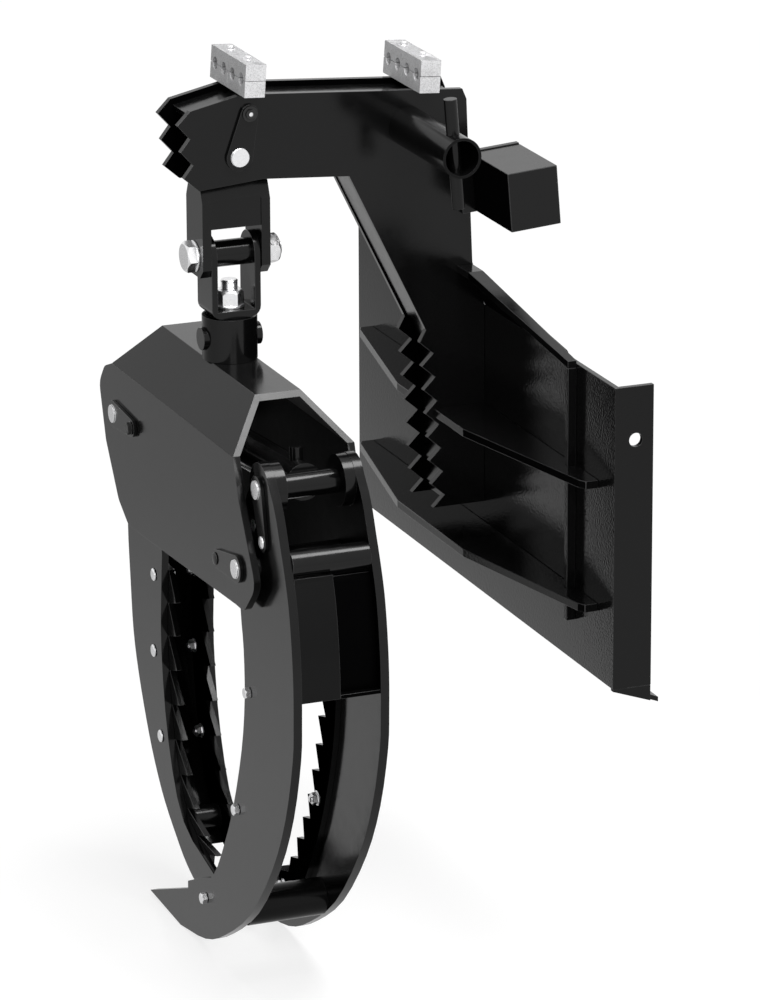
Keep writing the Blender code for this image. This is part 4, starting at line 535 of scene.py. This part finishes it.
def finished(piece, node, width=EDGE_WIDTH, face_paint=None, paint_slot=None, smooth=ROUND):
    """Breaks a painted piece's edges and settles it in a node's place.

    A test may give some faces painted shade instead: INNER, a near-black enamel, or SHADED, an enamel
    that reflects less.
    """
    give(piece, face_paint or gloss_paint, edge_highlight_paint, painted_shade_enamel, shaded_paint)
    broken_edges(piece, width, smooth=smooth)
    for face in piece.data.polygons:
        if paint_slot and face.material_index == 0:
            face.material_index = paint_slot(face.center, face.normal)
    return settle(piece, body_of(node), "black_paint", node)


def painted(node, **settings):
    """A painted steel piece in a node's place."""
    return finished(copied(node, f"painted_{node}"), node, **settings)


# Slots for painted shade: INNER holds the near-black enamel, SHADED the enamel that reflects less
INNER, SHADED = 2, 3
WEB_FOOT = -0.25                     # the right tong's web ends here
POST_FRONT = 0.055                   # gusset faces behind this x lie in the boom's shade


def faces_inwards(middle, normal):
    """The inner sides of the plates of the head, which get painted shade."""
    return INNER if abs(normal.x) > 0.7 and (HEAD_X - middle.x) * normal.x > 0 else 0


def tong_faces(middle, normal):
    """The inner side of the right tong's rear plate, above its web's foot, which gets painted shade."""
    return INNER if normal.x > 0.7 and middle.z > WEB_FOOT else 0


def hood_faces(middle, normal):
    """Painted shade on the hood's underside and inner sides, and a lesser painted shade on its slope
    towards the front.
    """
    below = normal.z < -0.3 or (abs(normal.x) > 0.5 and (HEAD_X - middle.x) * normal.x > 0)
    return INNER if below else SHADED if normal.x > 0.5 and normal.z > 0.3 else 0


def boom_faces(middle, normal):
    """Painted shade on the sides of the boom's plates that face each other."""
    return INNER if abs(normal.y) > 0.7 and middle.y * normal.y < 0 else 0


# Painted shade on the gussets' front faces that lie behind the boom's post
def gusset_faces(middle, normal):
    return INNER if normal.x > 0.3 and normal.z < 0.1 and middle.x < POST_FRONT else 0


# Painted shade on the side box's faces towards the front
def box_faces(middle, normal):
    return INNER if normal.x > 0.7 else 0


def turned(name, outline, steps=32):
    """A lathe piece on the Z axis, spun from an outline of (radius, height) points."""
    piece = started(name, bpy.ops.mesh.primitive_plane_add, size=0.01, location=(0, 0, 0))
    start = piece.data.vertices[0].co.copy()
    pick(piece, "VERT", lambda vert: vert.index != 0)
    bpy.ops.mesh.delete(type="VERT")
    select_everything()
    here = Vector((outline[0][0], 0, outline[0][1]))
    bpy.ops.transform.translate(value=here - start)
    for radius, height in outline[1:]:
        spot = Vector((radius, 0, height))
        bpy.ops.mesh.extrude_vertices_move(TRANSFORM_OT_translate={"value": spot - here})
        here = spot
    select_everything()
    bpy.ops.mesh.spin(steps=steps, angle=math.tau, center=(0, 0, 0), axis=(0, 0, 1))
    select_everything()
    closed_up()
    bpy.ops.object.mode_set(mode="OBJECT")
    return piece


def chamfered_hex(name, flats, high):
    """A hexagon head or nut whose corners are turned off at the top."""
    corner = flats / math.sqrt(3)
    piece = started(name, bpy.ops.mesh.primitive_cylinder_add, vertices=6, radius=corner, depth=high,
                    location=(0, 0, high / 2))
    dome = turned("chamfer_tool", [(0, -0.001), (corner * 1.1, -0.001), (corner * 1.1, high * 0.62),
                                   (flats * 0.475, high), (0, high)], 48)
    apply_change(piece, "BOOLEAN", operation="INTERSECT", solver="EXACT", object=dome)
    bpy.data.objects.remove(dome, do_unlink=True)
    return piece


def joined(name, *parts):
    bpy.ops.object.select_all(action="DESELECT")
    for part in parts:
        part.select_set(True)
    bpy.context.view_layer.objects.active = parts[0]
    bpy.ops.object.join()
    parts[0].name = name
    return parts[0]


def thread_outline(radius, low, high, pitch=0.0018, depth=0.0009):
    """The outline of a threaded end, from its foot up to its chamfered top."""
    points = [(radius, low)]
    height = low
    while height + pitch < high - depth * 1.5:
        points += [(radius - depth, height + pitch * 0.5), (radius, height + pitch)]
        height += pitch
    return points + [(radius, high - depth * 1.5), (radius - depth * 1.5, high), (0, high)]


def hex_bolt(name, flats, high, washer, washer_thick, tip=0.0, thread=0.0):
    """A hexagon bolt head or nut on a washer; a tip gives the end of the thread beyond a nut."""
    flat = turned("washer", [(0, 0), (washer - 0.0006, 0), (washer, 0.0004),
                             (washer, washer_thick - 0.0005), (washer - 0.0006, washer_thick),
                             (0, washer_thick)])
    head = chamfered_hex("head", flats, high)
    head.data.transform(Matrix.Translation((0, 0, washer_thick)))
    parts = [flat, head]
    if tip:
        top = washer_thick + high
        foot = top - 0.002
        parts.append(turned("thread_end", [(0, foot), *thread_outline(thread, foot, top + tip)]))
    return joined(name, *parts)


def put(model, name, spot, direction, body, material=None, turn=0.0, nodes=(), slot="zinc_plate"):
    """A copy of a bench-made piece, set at its place along a direction."""
    piece = bpy.data.objects.new(name, model.data.copy())
    bpy.context.scene.collection.objects.link(piece)
    aim = Vector(direction).to_track_quat("Z", "Y").to_matrix().to_4x4()
    piece.data.transform(Matrix.Translation(spot) @ aim @ Matrix.Rotation(math.radians(turn), 4, "Z"))
    give(piece, material or zinc)
    shade(piece, TURNED)
    return settle(piece, body, slot, *nodes)


# --- Camera: the photograph's place and lens ------------------------------------------------
camera = bpy.data.objects.new("camera", bpy.data.cameras.new("camera"))
bpy.context.scene.collection.objects.link(camera)
camera_right = (-0.9269847, 0.3750824, -0.0035466)
camera_up = (-0.1175285, -0.2814568, 0.9523493)
camera_back = (0.3562112, 0.8832300, 0.3049890)
camera.matrix_world = Matrix.Translation((3.8437, 9.0724, 3.0457)) @ Matrix(
    (camera_right, camera_up, camera_back)).transposed().to_4x4()
camera.data.sensor_fit = "VERTICAL"
camera.data.sensor_height = 36
camera.data.lens = 211.0725
camera.data.clip_end = 50
bpy.context.scene.camera = camera


# --- Painted plates, bars and tubes -----------------------------------------------------------
plate_low, plate_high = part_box("mounting_plate")
mounting_plate = copied("mounting_plate", "painted_mounting_plate")
LIP_TIP = -0.07                      # only the bottom lip reaches beyond this x
LIP_SHY = 0.0016                     # its ends stay this far back from the flanges
nudged(mounting_plate, lambda spot: spot.x < LIP_TIP and spot.y > plate_high.y - 0.001,
       (0, -LIP_SHY, 0))
nudged(mounting_plate, lambda spot: spot.x < LIP_TIP and spot.y < plate_low.y + 0.001,
       (0, LIP_SHY, 0))
finished(mounting_plate, "mounting_plate", face_paint=plate_paint, smooth=FLAT)
for plate in ("middle_rib_near", "middle_rib_far", "lower_rib", "stiffener_bar"):
    painted(plate, face_paint=plate_paint, smooth=FLAT)
for side_plate in ("boom_side_near", "boom_side_far"):
    painted(side_plate, paint_slot=boom_faces, smooth=FLAT)
for gusset in ("top_gusset_near", "top_gusset_far"):
    painted(gusset, paint_slot=gusset_faces, smooth=FLAT)
for bar in ("top_strap", "back_strap", "box_bracket", "link_bar"):
    painted(bar, smooth=FLAT)
for bar in ("tube_cross_rod", "swivel_yoke", "bolt_sleeve", "swivel_collar", "collar_cross_pin",
            "left_cross_tube", "right_pivot_tube", "upper_cross_tube", "cylinder_barrel",
            "left_tong_plate_front"):
    painted(bar)
# Painted shade: these tubes take the enamel that reflects less, so they render darker
for tube in ("side_tube", "lower_cross_tube"):
    painted(tube, face_paint=shaded_paint)
painted("side_box", paint_slot=box_faces, smooth=FLAT, width=0.0014)
painted("hood", paint_slot=hood_faces, smooth=FLAT, width=0.0004)
for plate in ("head_plate_front", "head_plate_rear", "left_tong_plate_rear"):
    painted(plate, paint_slot=faces_inwards)

LINK_SHOULDER = 0.492                # where the upper link's ears begin to lean in
upper_link = copied("upper_link", "painted_upper_link")
link_low, link_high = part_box("upper_link")
for edge_y, side in ((link_low.y, -1), (link_high.y, 1)):
    cut_away(upper_link, (0, edge_y, LINK_SHOULDER), (0, side * 0.920, 0.392))
finished(upper_link, "upper_link", smooth=FLAT)


def hollowed_tip(node):
    """A plate of the right tong, whose hooked tip is hollow on its upper edge."""
    middle_y, middle_z = -0.1217, -0.77
    cutter = started("tip_cutter", bpy.ops.mesh.primitive_cube_add, size=1,
                     location=(HEAD_X, middle_y, middle_z), scale=(0.3, 0.2168, 0.14))
    for side, rise in ((-1, -0.0088), (1, 0.0738)):
        nudged(cutter, lambda spot: spot.z < middle_z and (spot.y - middle_y) * side > 0, (0, 0, rise))
    piece = copied(node, f"painted_{node}")
    apply_change(piece, "BOOLEAN", operation="DIFFERENCE", solver="EXACT", object=cutter)
    bpy.data.objects.remove(cutter, do_unlink=True)
    return piece


finished(hollowed_tip("right_tong_plate_front"), "right_tong_plate_front")
# The rear plate is parted at the web's foot, so that painted shade can cover its inner side above it
rear_plate = parted(hollowed_tip("right_tong_plate_rear"), (0, 0, WEB_FOOT), (0, 0, 1))
finished(rear_plate, "right_tong_plate_rear", paint_slot=tong_faces)

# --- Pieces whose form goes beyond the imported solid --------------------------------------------
# The left tong's web runs on towards the tip, beside the outer edge of the plates
WEB_STEPS = ((0.0180, -0.026), (0.0315, -0.040), (0.0417, -0.040), (0.0500, -0.040))
left_web = copied("left_web", "painted_left_web")
for along, down in WEB_STEPS:
    foot = min(vert.co.z for vert in left_web.data.vertices)
    moved_end(left_web, lambda middle, normal: middle.z < foot + 0.001, (0, along, down))
finished(left_web, "left_web", width=FINE_EDGE)

# The right tong's back is a plate beside a pocket, which is closed behind and below
POCKET_EDGE = HEAD_X + 0.001
POCKET_DEPTH = 0.016
WALL = 0.007
web_low, web_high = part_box("right_web")


def web_part(name, low_x, high_x, low_z=None):
    part = copied("right_web", name)
    cut_away(part, (high_x, 0, 0), (1, 0, 0))
    cut_away(part, (low_x, 0, 0), (-1, 0, 0))
    if low_z is not None:
        cut_away(part, (0, 0, low_z), (0, 0, 1))
    return part


def drawn_inwards(part, depth):
    return moved_end(part, lambda middle, normal: normal.y < -0.4, (0, -depth, 0))


outer_plate = web_part("painted_right_web", POCKET_EDGE, web_high.x)
moved_end(outer_plate, lambda middle, normal: normal.z > 0.7, (0, 0.0004, 0.0080))
pocket_back = shifted(web_part("pocket_back", web_low.x, POCKET_EDGE), (0, -POCKET_DEPTH, 0))
pocket_side = shifted(drawn_inwards(web_part("pocket_side", POCKET_EDGE, POCKET_EDGE + WALL),
                                    POCKET_DEPTH - 0.012), (0, -0.011, 0))
pocket_floor = drawn_inwards(web_part("pocket_floor", web_low.x, POCKET_EDGE, web_low.z + WALL),
                             POCKET_DEPTH - 0.012)
# Painted shade: the pocket's walls take the near-black enamel, and the plate beside it the enamel that
# reflects less
for wall in (pocket_back, pocket_side, pocket_floor):
    give(wall, painted_shade_enamel, edge_highlight_paint)
    settle(broken_edges(wall, FINE_EDGE), "right_tong", "black_paint")
give(outer_plate, shaded_paint, edge_highlight_paint)
settle(broken_edges(outer_plate, FINE_EDGE), "right_tong", "black_paint", "right_web")


def bent_strap(name, path, half, thick):
    """A flat bar bent along a path in the boom's middle plane, made from one edge drawn along it."""
    piece = started(name, bpy.ops.mesh.primitive_plane_add, size=2 * half, location=(0, 0, 0))
    pick(piece, "VERT", lambda vert: vert.co.x > 0)
    bpy.ops.mesh.delete(type="VERT")
    select_everything()
    bpy.ops.transform.translate(value=(path[0][0] + half, 0, path[0][1]))
    for before, after in zip(path, path[1:]):
        step = (after[0] - before[0], 0, after[1] - before[1])
        bpy.ops.mesh.extrude_edges_move(TRANSFORM_OT_translate={"value": step})
    select_everything()
    bpy.ops.mesh.normals_make_consistent(inside=False)
    bpy.ops.object.mode_set(mode="OBJECT")
    apply_change(piece, "SOLIDIFY", thickness=thick, offset=0.0, use_even_offset=True)
    return edit(piece, closed_up)


STRAP_PATH = [(0.3690, 0.5325), (0.2575, 0.5252), (0.1075, 0.2230), (0.0905, 0.1900),
              (0.0760, -0.0850)]
inner_strap = bent_strap("painted_inner_strap", STRAP_PATH, 0.0419, 0.0095)
give(inner_strap, gloss_paint, edge_highlight_paint)
settle(broken_edges(inner_strap, 0.0008), "plate_frame", "black_paint", "inner_strap")


TOE_THICK = 0.0095


def flange_toe(name, middle_y):
    """The flange's foot, which follows the slope of the bottom lip."""
    piece = started(name, bpy.ops.mesh.primitive_cube_add, size=1,
                    location=(-0.0256, middle_y, -0.2662), scale=(0.0694, TOE_THICK, 0.0040))
    nudged(piece, lambda spot: spot.x < -0.03 and spot.z < -0.266, (0, 0, -0.0245))
    give(piece, plate_paint, edge_highlight_paint)
    return settle(broken_edges(piece, FINE_EDGE), "plate_frame", "black_paint")


flange_toe("flange_toe_near", plate_high.y - TOE_THICK / 2)
flange_toe("flange_toe_far", plate_low.y + TOE_THICK / 2)

# --- Toothed strips: their plain bolt ends come off, and real bolts go on ---------------------
strip_bolt = hex_bolt("strip_bolt_model", 0.018, 0.0092, 0.0088, 0.0010)
strip_nut = hex_bolt("strip_nut_model", 0.019, 0.0095, 0.0135, 0.0022, 0.004, 0.0058)
round_head = turned("round_head_model", [(0, 0), (0.0105, 0), (0.0115, 0.0008), (0.0113, 0.0022),
                                         (0.0095, 0.0036), (0.006, 0.0044), (0, 0.0047)])
strip_sets = [("left", "left_tong", LEFT_STRIP_BOLTS, LEFT_FACE, LEFT_STRIP_INNER, round_head),
              ("right", "right_tong", RIGHT_STRIP_BOLTS, RIGHT_FACE, RIGHT_STRIP_INNER, strip_bolt)]
for tong, body, spots, face, inner, head in strip_sets:
    for side, end in ((1, "front"), (-1, "rear")):
        node = f"{tong}_teeth_{end}"
        strip = give(copied(node, f"painted_{node}"), gloss_paint, edge_highlight_paint)
        outer_x = HEAD_X + side * (face - HEAD_X)
        cut_away(strip, (outer_x - side * 0.001, 0, 0), (side, 0, 0))
        cut_away(strip, (HEAD_X + side * (inner - 0.00003), 0, 0), (-side, 0, 0))
        broken_edges(strip, FINE_EDGE)
        # Painted reflection: the rear right strip's inner face is painted light grey
        if node == "right_teeth_rear":
            give(strip, painted_reflection_enamel)
            recolour(strip, lambda strip_face: strip_face.normal.x > 0.9, 2)
        settle(strip, body, "black_paint", node)
        for i, (y, z) in enumerate(spots):
            put(head, f"{tong}_strip_bolt_{end}_{i + 1}", (outer_x + side * GAP, y, z), (side, 0, 0),
                body, turn=17 * i)
            put(strip_nut, f"{tong}_strip_nut_{end}_{i + 1}", (HEAD_X + side * inner, y, z),
                (-side, 0, 0), body, turn=11 * i)

# --- Hose clamps ------------------------------------------------------------------------------
clamp_screw = hex_bolt("clamp_screw_model", 0.0115, 0.0055, 0.0075, 0.0012)
for row, (x, z) in CLAMP_TOPS.items():
    lower = give(copied(f"{row}_clamp_lower", f"alloy_{row}_clamp_lower"), alloy, alloy)
    settle(broken_edges(lower, 0.0010), "plate_frame", "clamp_alloy", f"{row}_clamp_lower")
    upper = give(copied(f"{row}_clamp_upper", f"alloy_{row}_clamp_upper"), alloy, alloy)
    cut_away(upper, Vector((x, 0, z)) - ARM_UP * 0.00005, ARM_UP)
    settle(broken_edges(upper, 0.0010), "plate_frame", "clamp_alloy", f"{row}_clamp_upper")
    for side in (-1, 1):
        put(clamp_screw, f"{row}_clamp_screw_{'near' if side > 0 else 'far'}",
            Vector((x, side * CLAMP_BOLT_SPREAD, z)) - ARM_UP * 0.0005, ARM_UP, "plate_frame",
            turn=24 * side)

# --- Pins with their flags, and their keeper bolts --------------------------------------------
def flagged_pin(node, axis, spot, radius, width=0.0008):
    """A pin whose flag and shaft are painted and whose turned end is bare and bright."""
    piece = give(copied(node, f"pin_{node}"), gloss_paint, edge_highlight_paint, zinc)
    broken_edges(piece, width)

    def on_shaft(face):
        middle = face.center
        across = middle.x - HEAD_X if axis == "Y" else middle.y - spot[0]
        return math.hypot(across, middle.z - spot[1]) < radius

    recolour(piece, on_shaft, 2)
    return settle(piece, body_of(node), "bare_steel", node)


PIN_END = 0.0166
flagged_pin("tip_pin", "Y", TIP_PIN, PIN_END)
flagged_pin("left_pivot_pin", "X", LEFT_PIVOT, PIN_END)
flagged_pin("right_pivot_pin", "X", RIGHT_PIVOT, PIN_END)
flagged_pin("base_pin", "X", BASE_PIN, PIN_END)

keeper = hex_bolt("keeper_model", 0.019, 0.0062, 0.0115, 0.0018)
low_keeper = turned("low_keeper_model", [(0, 0), (0.0105, 0), (0.011, 0.0006), (0.0106, 0.0018),
                                         (0.008, 0.0030), (0, 0.0034)])
flag_face = HEAD_FACE + GAP * 2 + FLAG_THICK
put(keeper, "left_keeper_head", (flag_face, *LEFT_KEEPER), (1, 0, 0), "grapple_head", cap_black,
    turn=12, nodes=("left_keeper_bolt",))
put(low_keeper, "right_keeper_head", (flag_face, *RIGHT_KEEPER), (1, 0, 0), "grapple_head",
    cap_black, nodes=("right_keeper_bolt",))
put(low_keeper, "base_keeper_head", (RIGHT_FACE + GAP * 2 + FLAG_THICK, *BASE_KEEPER), (1, 0, 0),
    "right_tong", nodes=("base_keeper_bolt",))
tip_cap = turned("tip_cap_model", [(0, 0), (0.0128, 0), (0.0135, 0.0006), (0.0135, 0.0020),
                                   (0.0092, 0.0024), (0.0092, 0.0062), (0.0084, 0.0072),
                                   (0.0040, 0.0072), (0.0040, 0.0040), (0, 0.0040)])
tip_keeper_spot = (0.4434, 0.0544 + GAP * 2 + FLAG_THICK, 0.6476)
put(tip_cap, "tip_keeper_head", tip_keeper_spot, (0, 1, 0), "plate_frame", cap_black,
    nodes=("tip_keeper_bolt",))
socket_plug = turned("socket_model", [(0, 0.0030), (0.0038, 0.0030), (0.0038, 0.0058), (0, 0.0064)])
put(socket_plug, "tip_keeper_socket", tip_keeper_spot, (0, 1, 0), "plate_frame")

# --- Cross bolt, swivel nut and stud ----------------------------------------------------------
cross_head = hex_bolt("cross_head_model", 0.048, 0.0175, 0.0275, 0.003)
cross_nut = hex_bolt("cross_nut_model", 0.048, 0.0225, 0.0275, 0.003, 0.0045, 0.0155)
link_face = 0.0617 + GAP
shank = turned("cross_shank_model", [(0, -link_face), (0.0158, -link_face), (0.0158, link_face),
                                     (0, link_face)], 40)
put(shank, "cross_bolt_shank", (HEAD_X, 0, CROSS_HEIGHT), (1, 0, 0), "upper_link",
    nodes=("cross_bolt",))
put(cross_head, "cross_bolt_head", (HEAD_X + link_face, 0, CROSS_HEIGHT), (1, 0, 0), "upper_link",
    turn=20)
put(cross_nut, "cross_bolt_end_nut", (HEAD_X - link_face, 0, CROSS_HEIGHT), (-1, 0, 0),
    "upper_link", turn=6, nodes=("cross_bolt_nut",))

stud_top = 0.345
swivel_nut = hex_bolt("swivel_nut_model", 0.044, 0.026, 0.026, 0.004)
put(swivel_nut, "swivel_nut_on_washer", (HEAD_X, 0, YOKE_FLOOR), (0, 0, 1), "grapple_head", turn=14,
    nodes=("swivel_nut",))
stud_piece = give(copied("swivel_stud", "turned_swivel_stud"), gloss_paint, edge_highlight_paint)
cut_away(stud_piece, (0, 0, YOKE_FLOOR + 0.028), (0, 0, 1))
settle(broken_edges(stud_piece, 0.0008), "grapple_head", "bare_steel", "swivel_stud")
stud_end = turned("stud_end_model", [(0, -0.004), *thread_outline(0.0148, -0.004, stud_top - 0.3273,
                                                                   0.0026, 0.0013)], 40)
put(stud_end, "swivel_stud_thread", (HEAD_X, 0, 0.3273), (0, 0, 1), "grapple_head", slot="bare_steel")

# --- Cylinder rod, gland and link pins ---------------------------------------------------------
for node, skin in (("cylinder_rod", rod_chrome), ("cylinder_gland", zinc), ("left_bar_pin", zinc),
                   ("right_bar_pin", zinc)):
    piece = give(copied(node, f"bright_{node}"), skin, skin)
    slot = "zinc_plate" if node.endswith("bar_pin") else "bare_steel"
    settle(broken_edges(piece, FINE_EDGE), body_of(node), slot, node)

# --- Floor, world and lamps --------------------------------------------------------------------
def light_path_share(tree):
    """1 for camera, mirror and glass rays, else 0."""
    path = tree.nodes.new("ShaderNodeLightPath")
    first = math_node(tree, "MAXIMUM", path.outputs["Is Camera Ray"], path.outputs["Is Glossy Ray"])
    return path, math_node(tree, "MAXIMUM", first, path.outputs["Is Transmission Ray"])


FLOOR_SIZE = 24
FLOOR_CENTRE_X = 0.3
FLOOR_GAP = 0.002
SHADOW_RANGE = (0.4, 1.5)            # the floor turns white between these distances
SEEN_GLOW, SEEN_GREY = (0.80, 1.02), (0.30, 0.0)
DEPTH_RANGE = (-2.5, 2.5)            # the mirrored floor grows brighter along this stretch of Y
MIRRORED_GLOW, MIRRORED_GREY = (0.47, 0.92), 0.12
OTHER_GREY = 0.36
WORLD_SOFT, WORLD_WHITE = 0.25, 1.0
lowest = cad_box[0].z
bpy.ops.object.select_all(action="DESELECT")
bpy.ops.mesh.primitive_plane_add(size=FLOOR_SIZE, location=(FLOOR_CENTRE_X, 0, lowest - FLOOR_GAP))
floor = bpy.context.active_object
floor.name = "floor"
floor_material = bpy.data.materials.new("pale_floor")
floor_material.use_nodes = True
tree = floor_material.node_tree
tree.nodes.clear()
out = tree.nodes.new("ShaderNodeOutputMaterial")
place = tree.nodes.new("ShaderNodeTexCoord")
spot = add(tree, "ShaderNodeSeparateXYZ")
tree.links.new(place.outputs["Object"], spot.inputs[0])
away = tree.nodes.new("ShaderNodeVectorMath")
away.operation = "LENGTH"
tree.links.new(place.outputs["Object"], away.inputs[0])
open_floor = spread(tree, away.outputs["Value"], *SHADOW_RANGE, 0.0, 1.0)
path, _ = light_path_share(tree)
seen, mirrored = path.outputs["Is Camera Ray"], path.outputs["Is Glossy Ray"]
towards_front = spread(tree, spot.outputs["Y"], *DEPTH_RANGE, *MIRRORED_GLOW)
glow_seen = math_node(tree, "MULTIPLY", seen, spread(tree, open_floor, 0.0, 1.0, *SEEN_GLOW))
glow_mirrored = math_node(tree, "MULTIPLY", mirrored, towards_front)
grey_seen = math_node(tree, "MULTIPLY", seen, spread(tree, open_floor, 0.0, 1.0, *SEEN_GREY))
grey_mirrored = math_node(tree, "MULTIPLY", mirrored, MIRRORED_GREY)
others = math_node(tree, "SUBTRACT", 1.0, math_node(tree, "MAXIMUM", seen, mirrored))
grey = math_node(tree, "ADD", math_node(tree, "ADD", grey_seen, grey_mirrored),
                 math_node(tree, "MULTIPLY", others, OTHER_GREY))
tone = add(tree, "ShaderNodeCombineColor")
for channel in tone.inputs[:3]:
    tree.links.new(grey, channel)
pale = add(tree, "ShaderNodeBsdfDiffuse")
tree.links.new(tone.outputs[0], pale.inputs["Color"])
glow = add(tree, "ShaderNodeEmission", in_Color=(1, 1, 1, 1))
tree.links.new(math_node(tree, "ADD", glow_seen, glow_mirrored), glow.inputs["Strength"])
both = tree.nodes.new("ShaderNodeAddShader")
tree.links.new(pale.outputs[0], both.inputs[0])
tree.links.new(glow.outputs[0], both.inputs[1])
tree.links.new(both.outputs[0], out.inputs["Surface"])
floor.data.materials.append(floor_material)

world = bpy.data.worlds.new("studio")
bpy.context.scene.world = world
world.use_nodes = True
tree = world.node_tree
tree.nodes.clear()
out = tree.nodes.new("ShaderNodeOutputWorld")
soft = add(tree, "ShaderNodeBackground", in_Color=(1, 1, 1, 1), in_Strength=WORLD_SOFT)
white = add(tree, "ShaderNodeBackground", in_Color=(1, 1, 1, 1), in_Strength=WORLD_WHITE)
chosen = tree.nodes.new("ShaderNodeMixShader")
_, share = light_path_share(tree)
tree.links.new(share, chosen.inputs[0])
tree.links.new(soft.outputs[0], chosen.inputs[1])
tree.links.new(white.outputs[0], chosen.inputs[2])
tree.links.new(chosen.outputs[0], out.inputs["Surface"])


def softbox(name, spot, size, power, aim=(0.35, 0.0, 0.0)):
    lamp = bpy.data.lights.new(name, "AREA")
    lamp.shape = "RECTANGLE"
    lamp.size, lamp.size_y = size
    lamp.energy = power
    holder = bpy.data.objects.new(name, lamp)
    bpy.context.scene.collection.objects.link(holder)
    holder.location = spot
    holder.rotation_euler = (Vector(aim) - Vector(spot)).to_track_quat("-Z", "Y").to_euler()
    return holder


softbox("top_lamp", (-0.3, 1.2, 4.2), (2.4, 2.4), 245)
softbox("front_lamp", (1.0, 4.6, 2.2), (2.2, 1.6), 64)

for model in [o for o in bpy.data.objects if o.name.endswith("_model")]:
    bpy.data.objects.remove(model, do_unlink=True)
bpy.context.scene.view_settings.view_transform = "Standard"
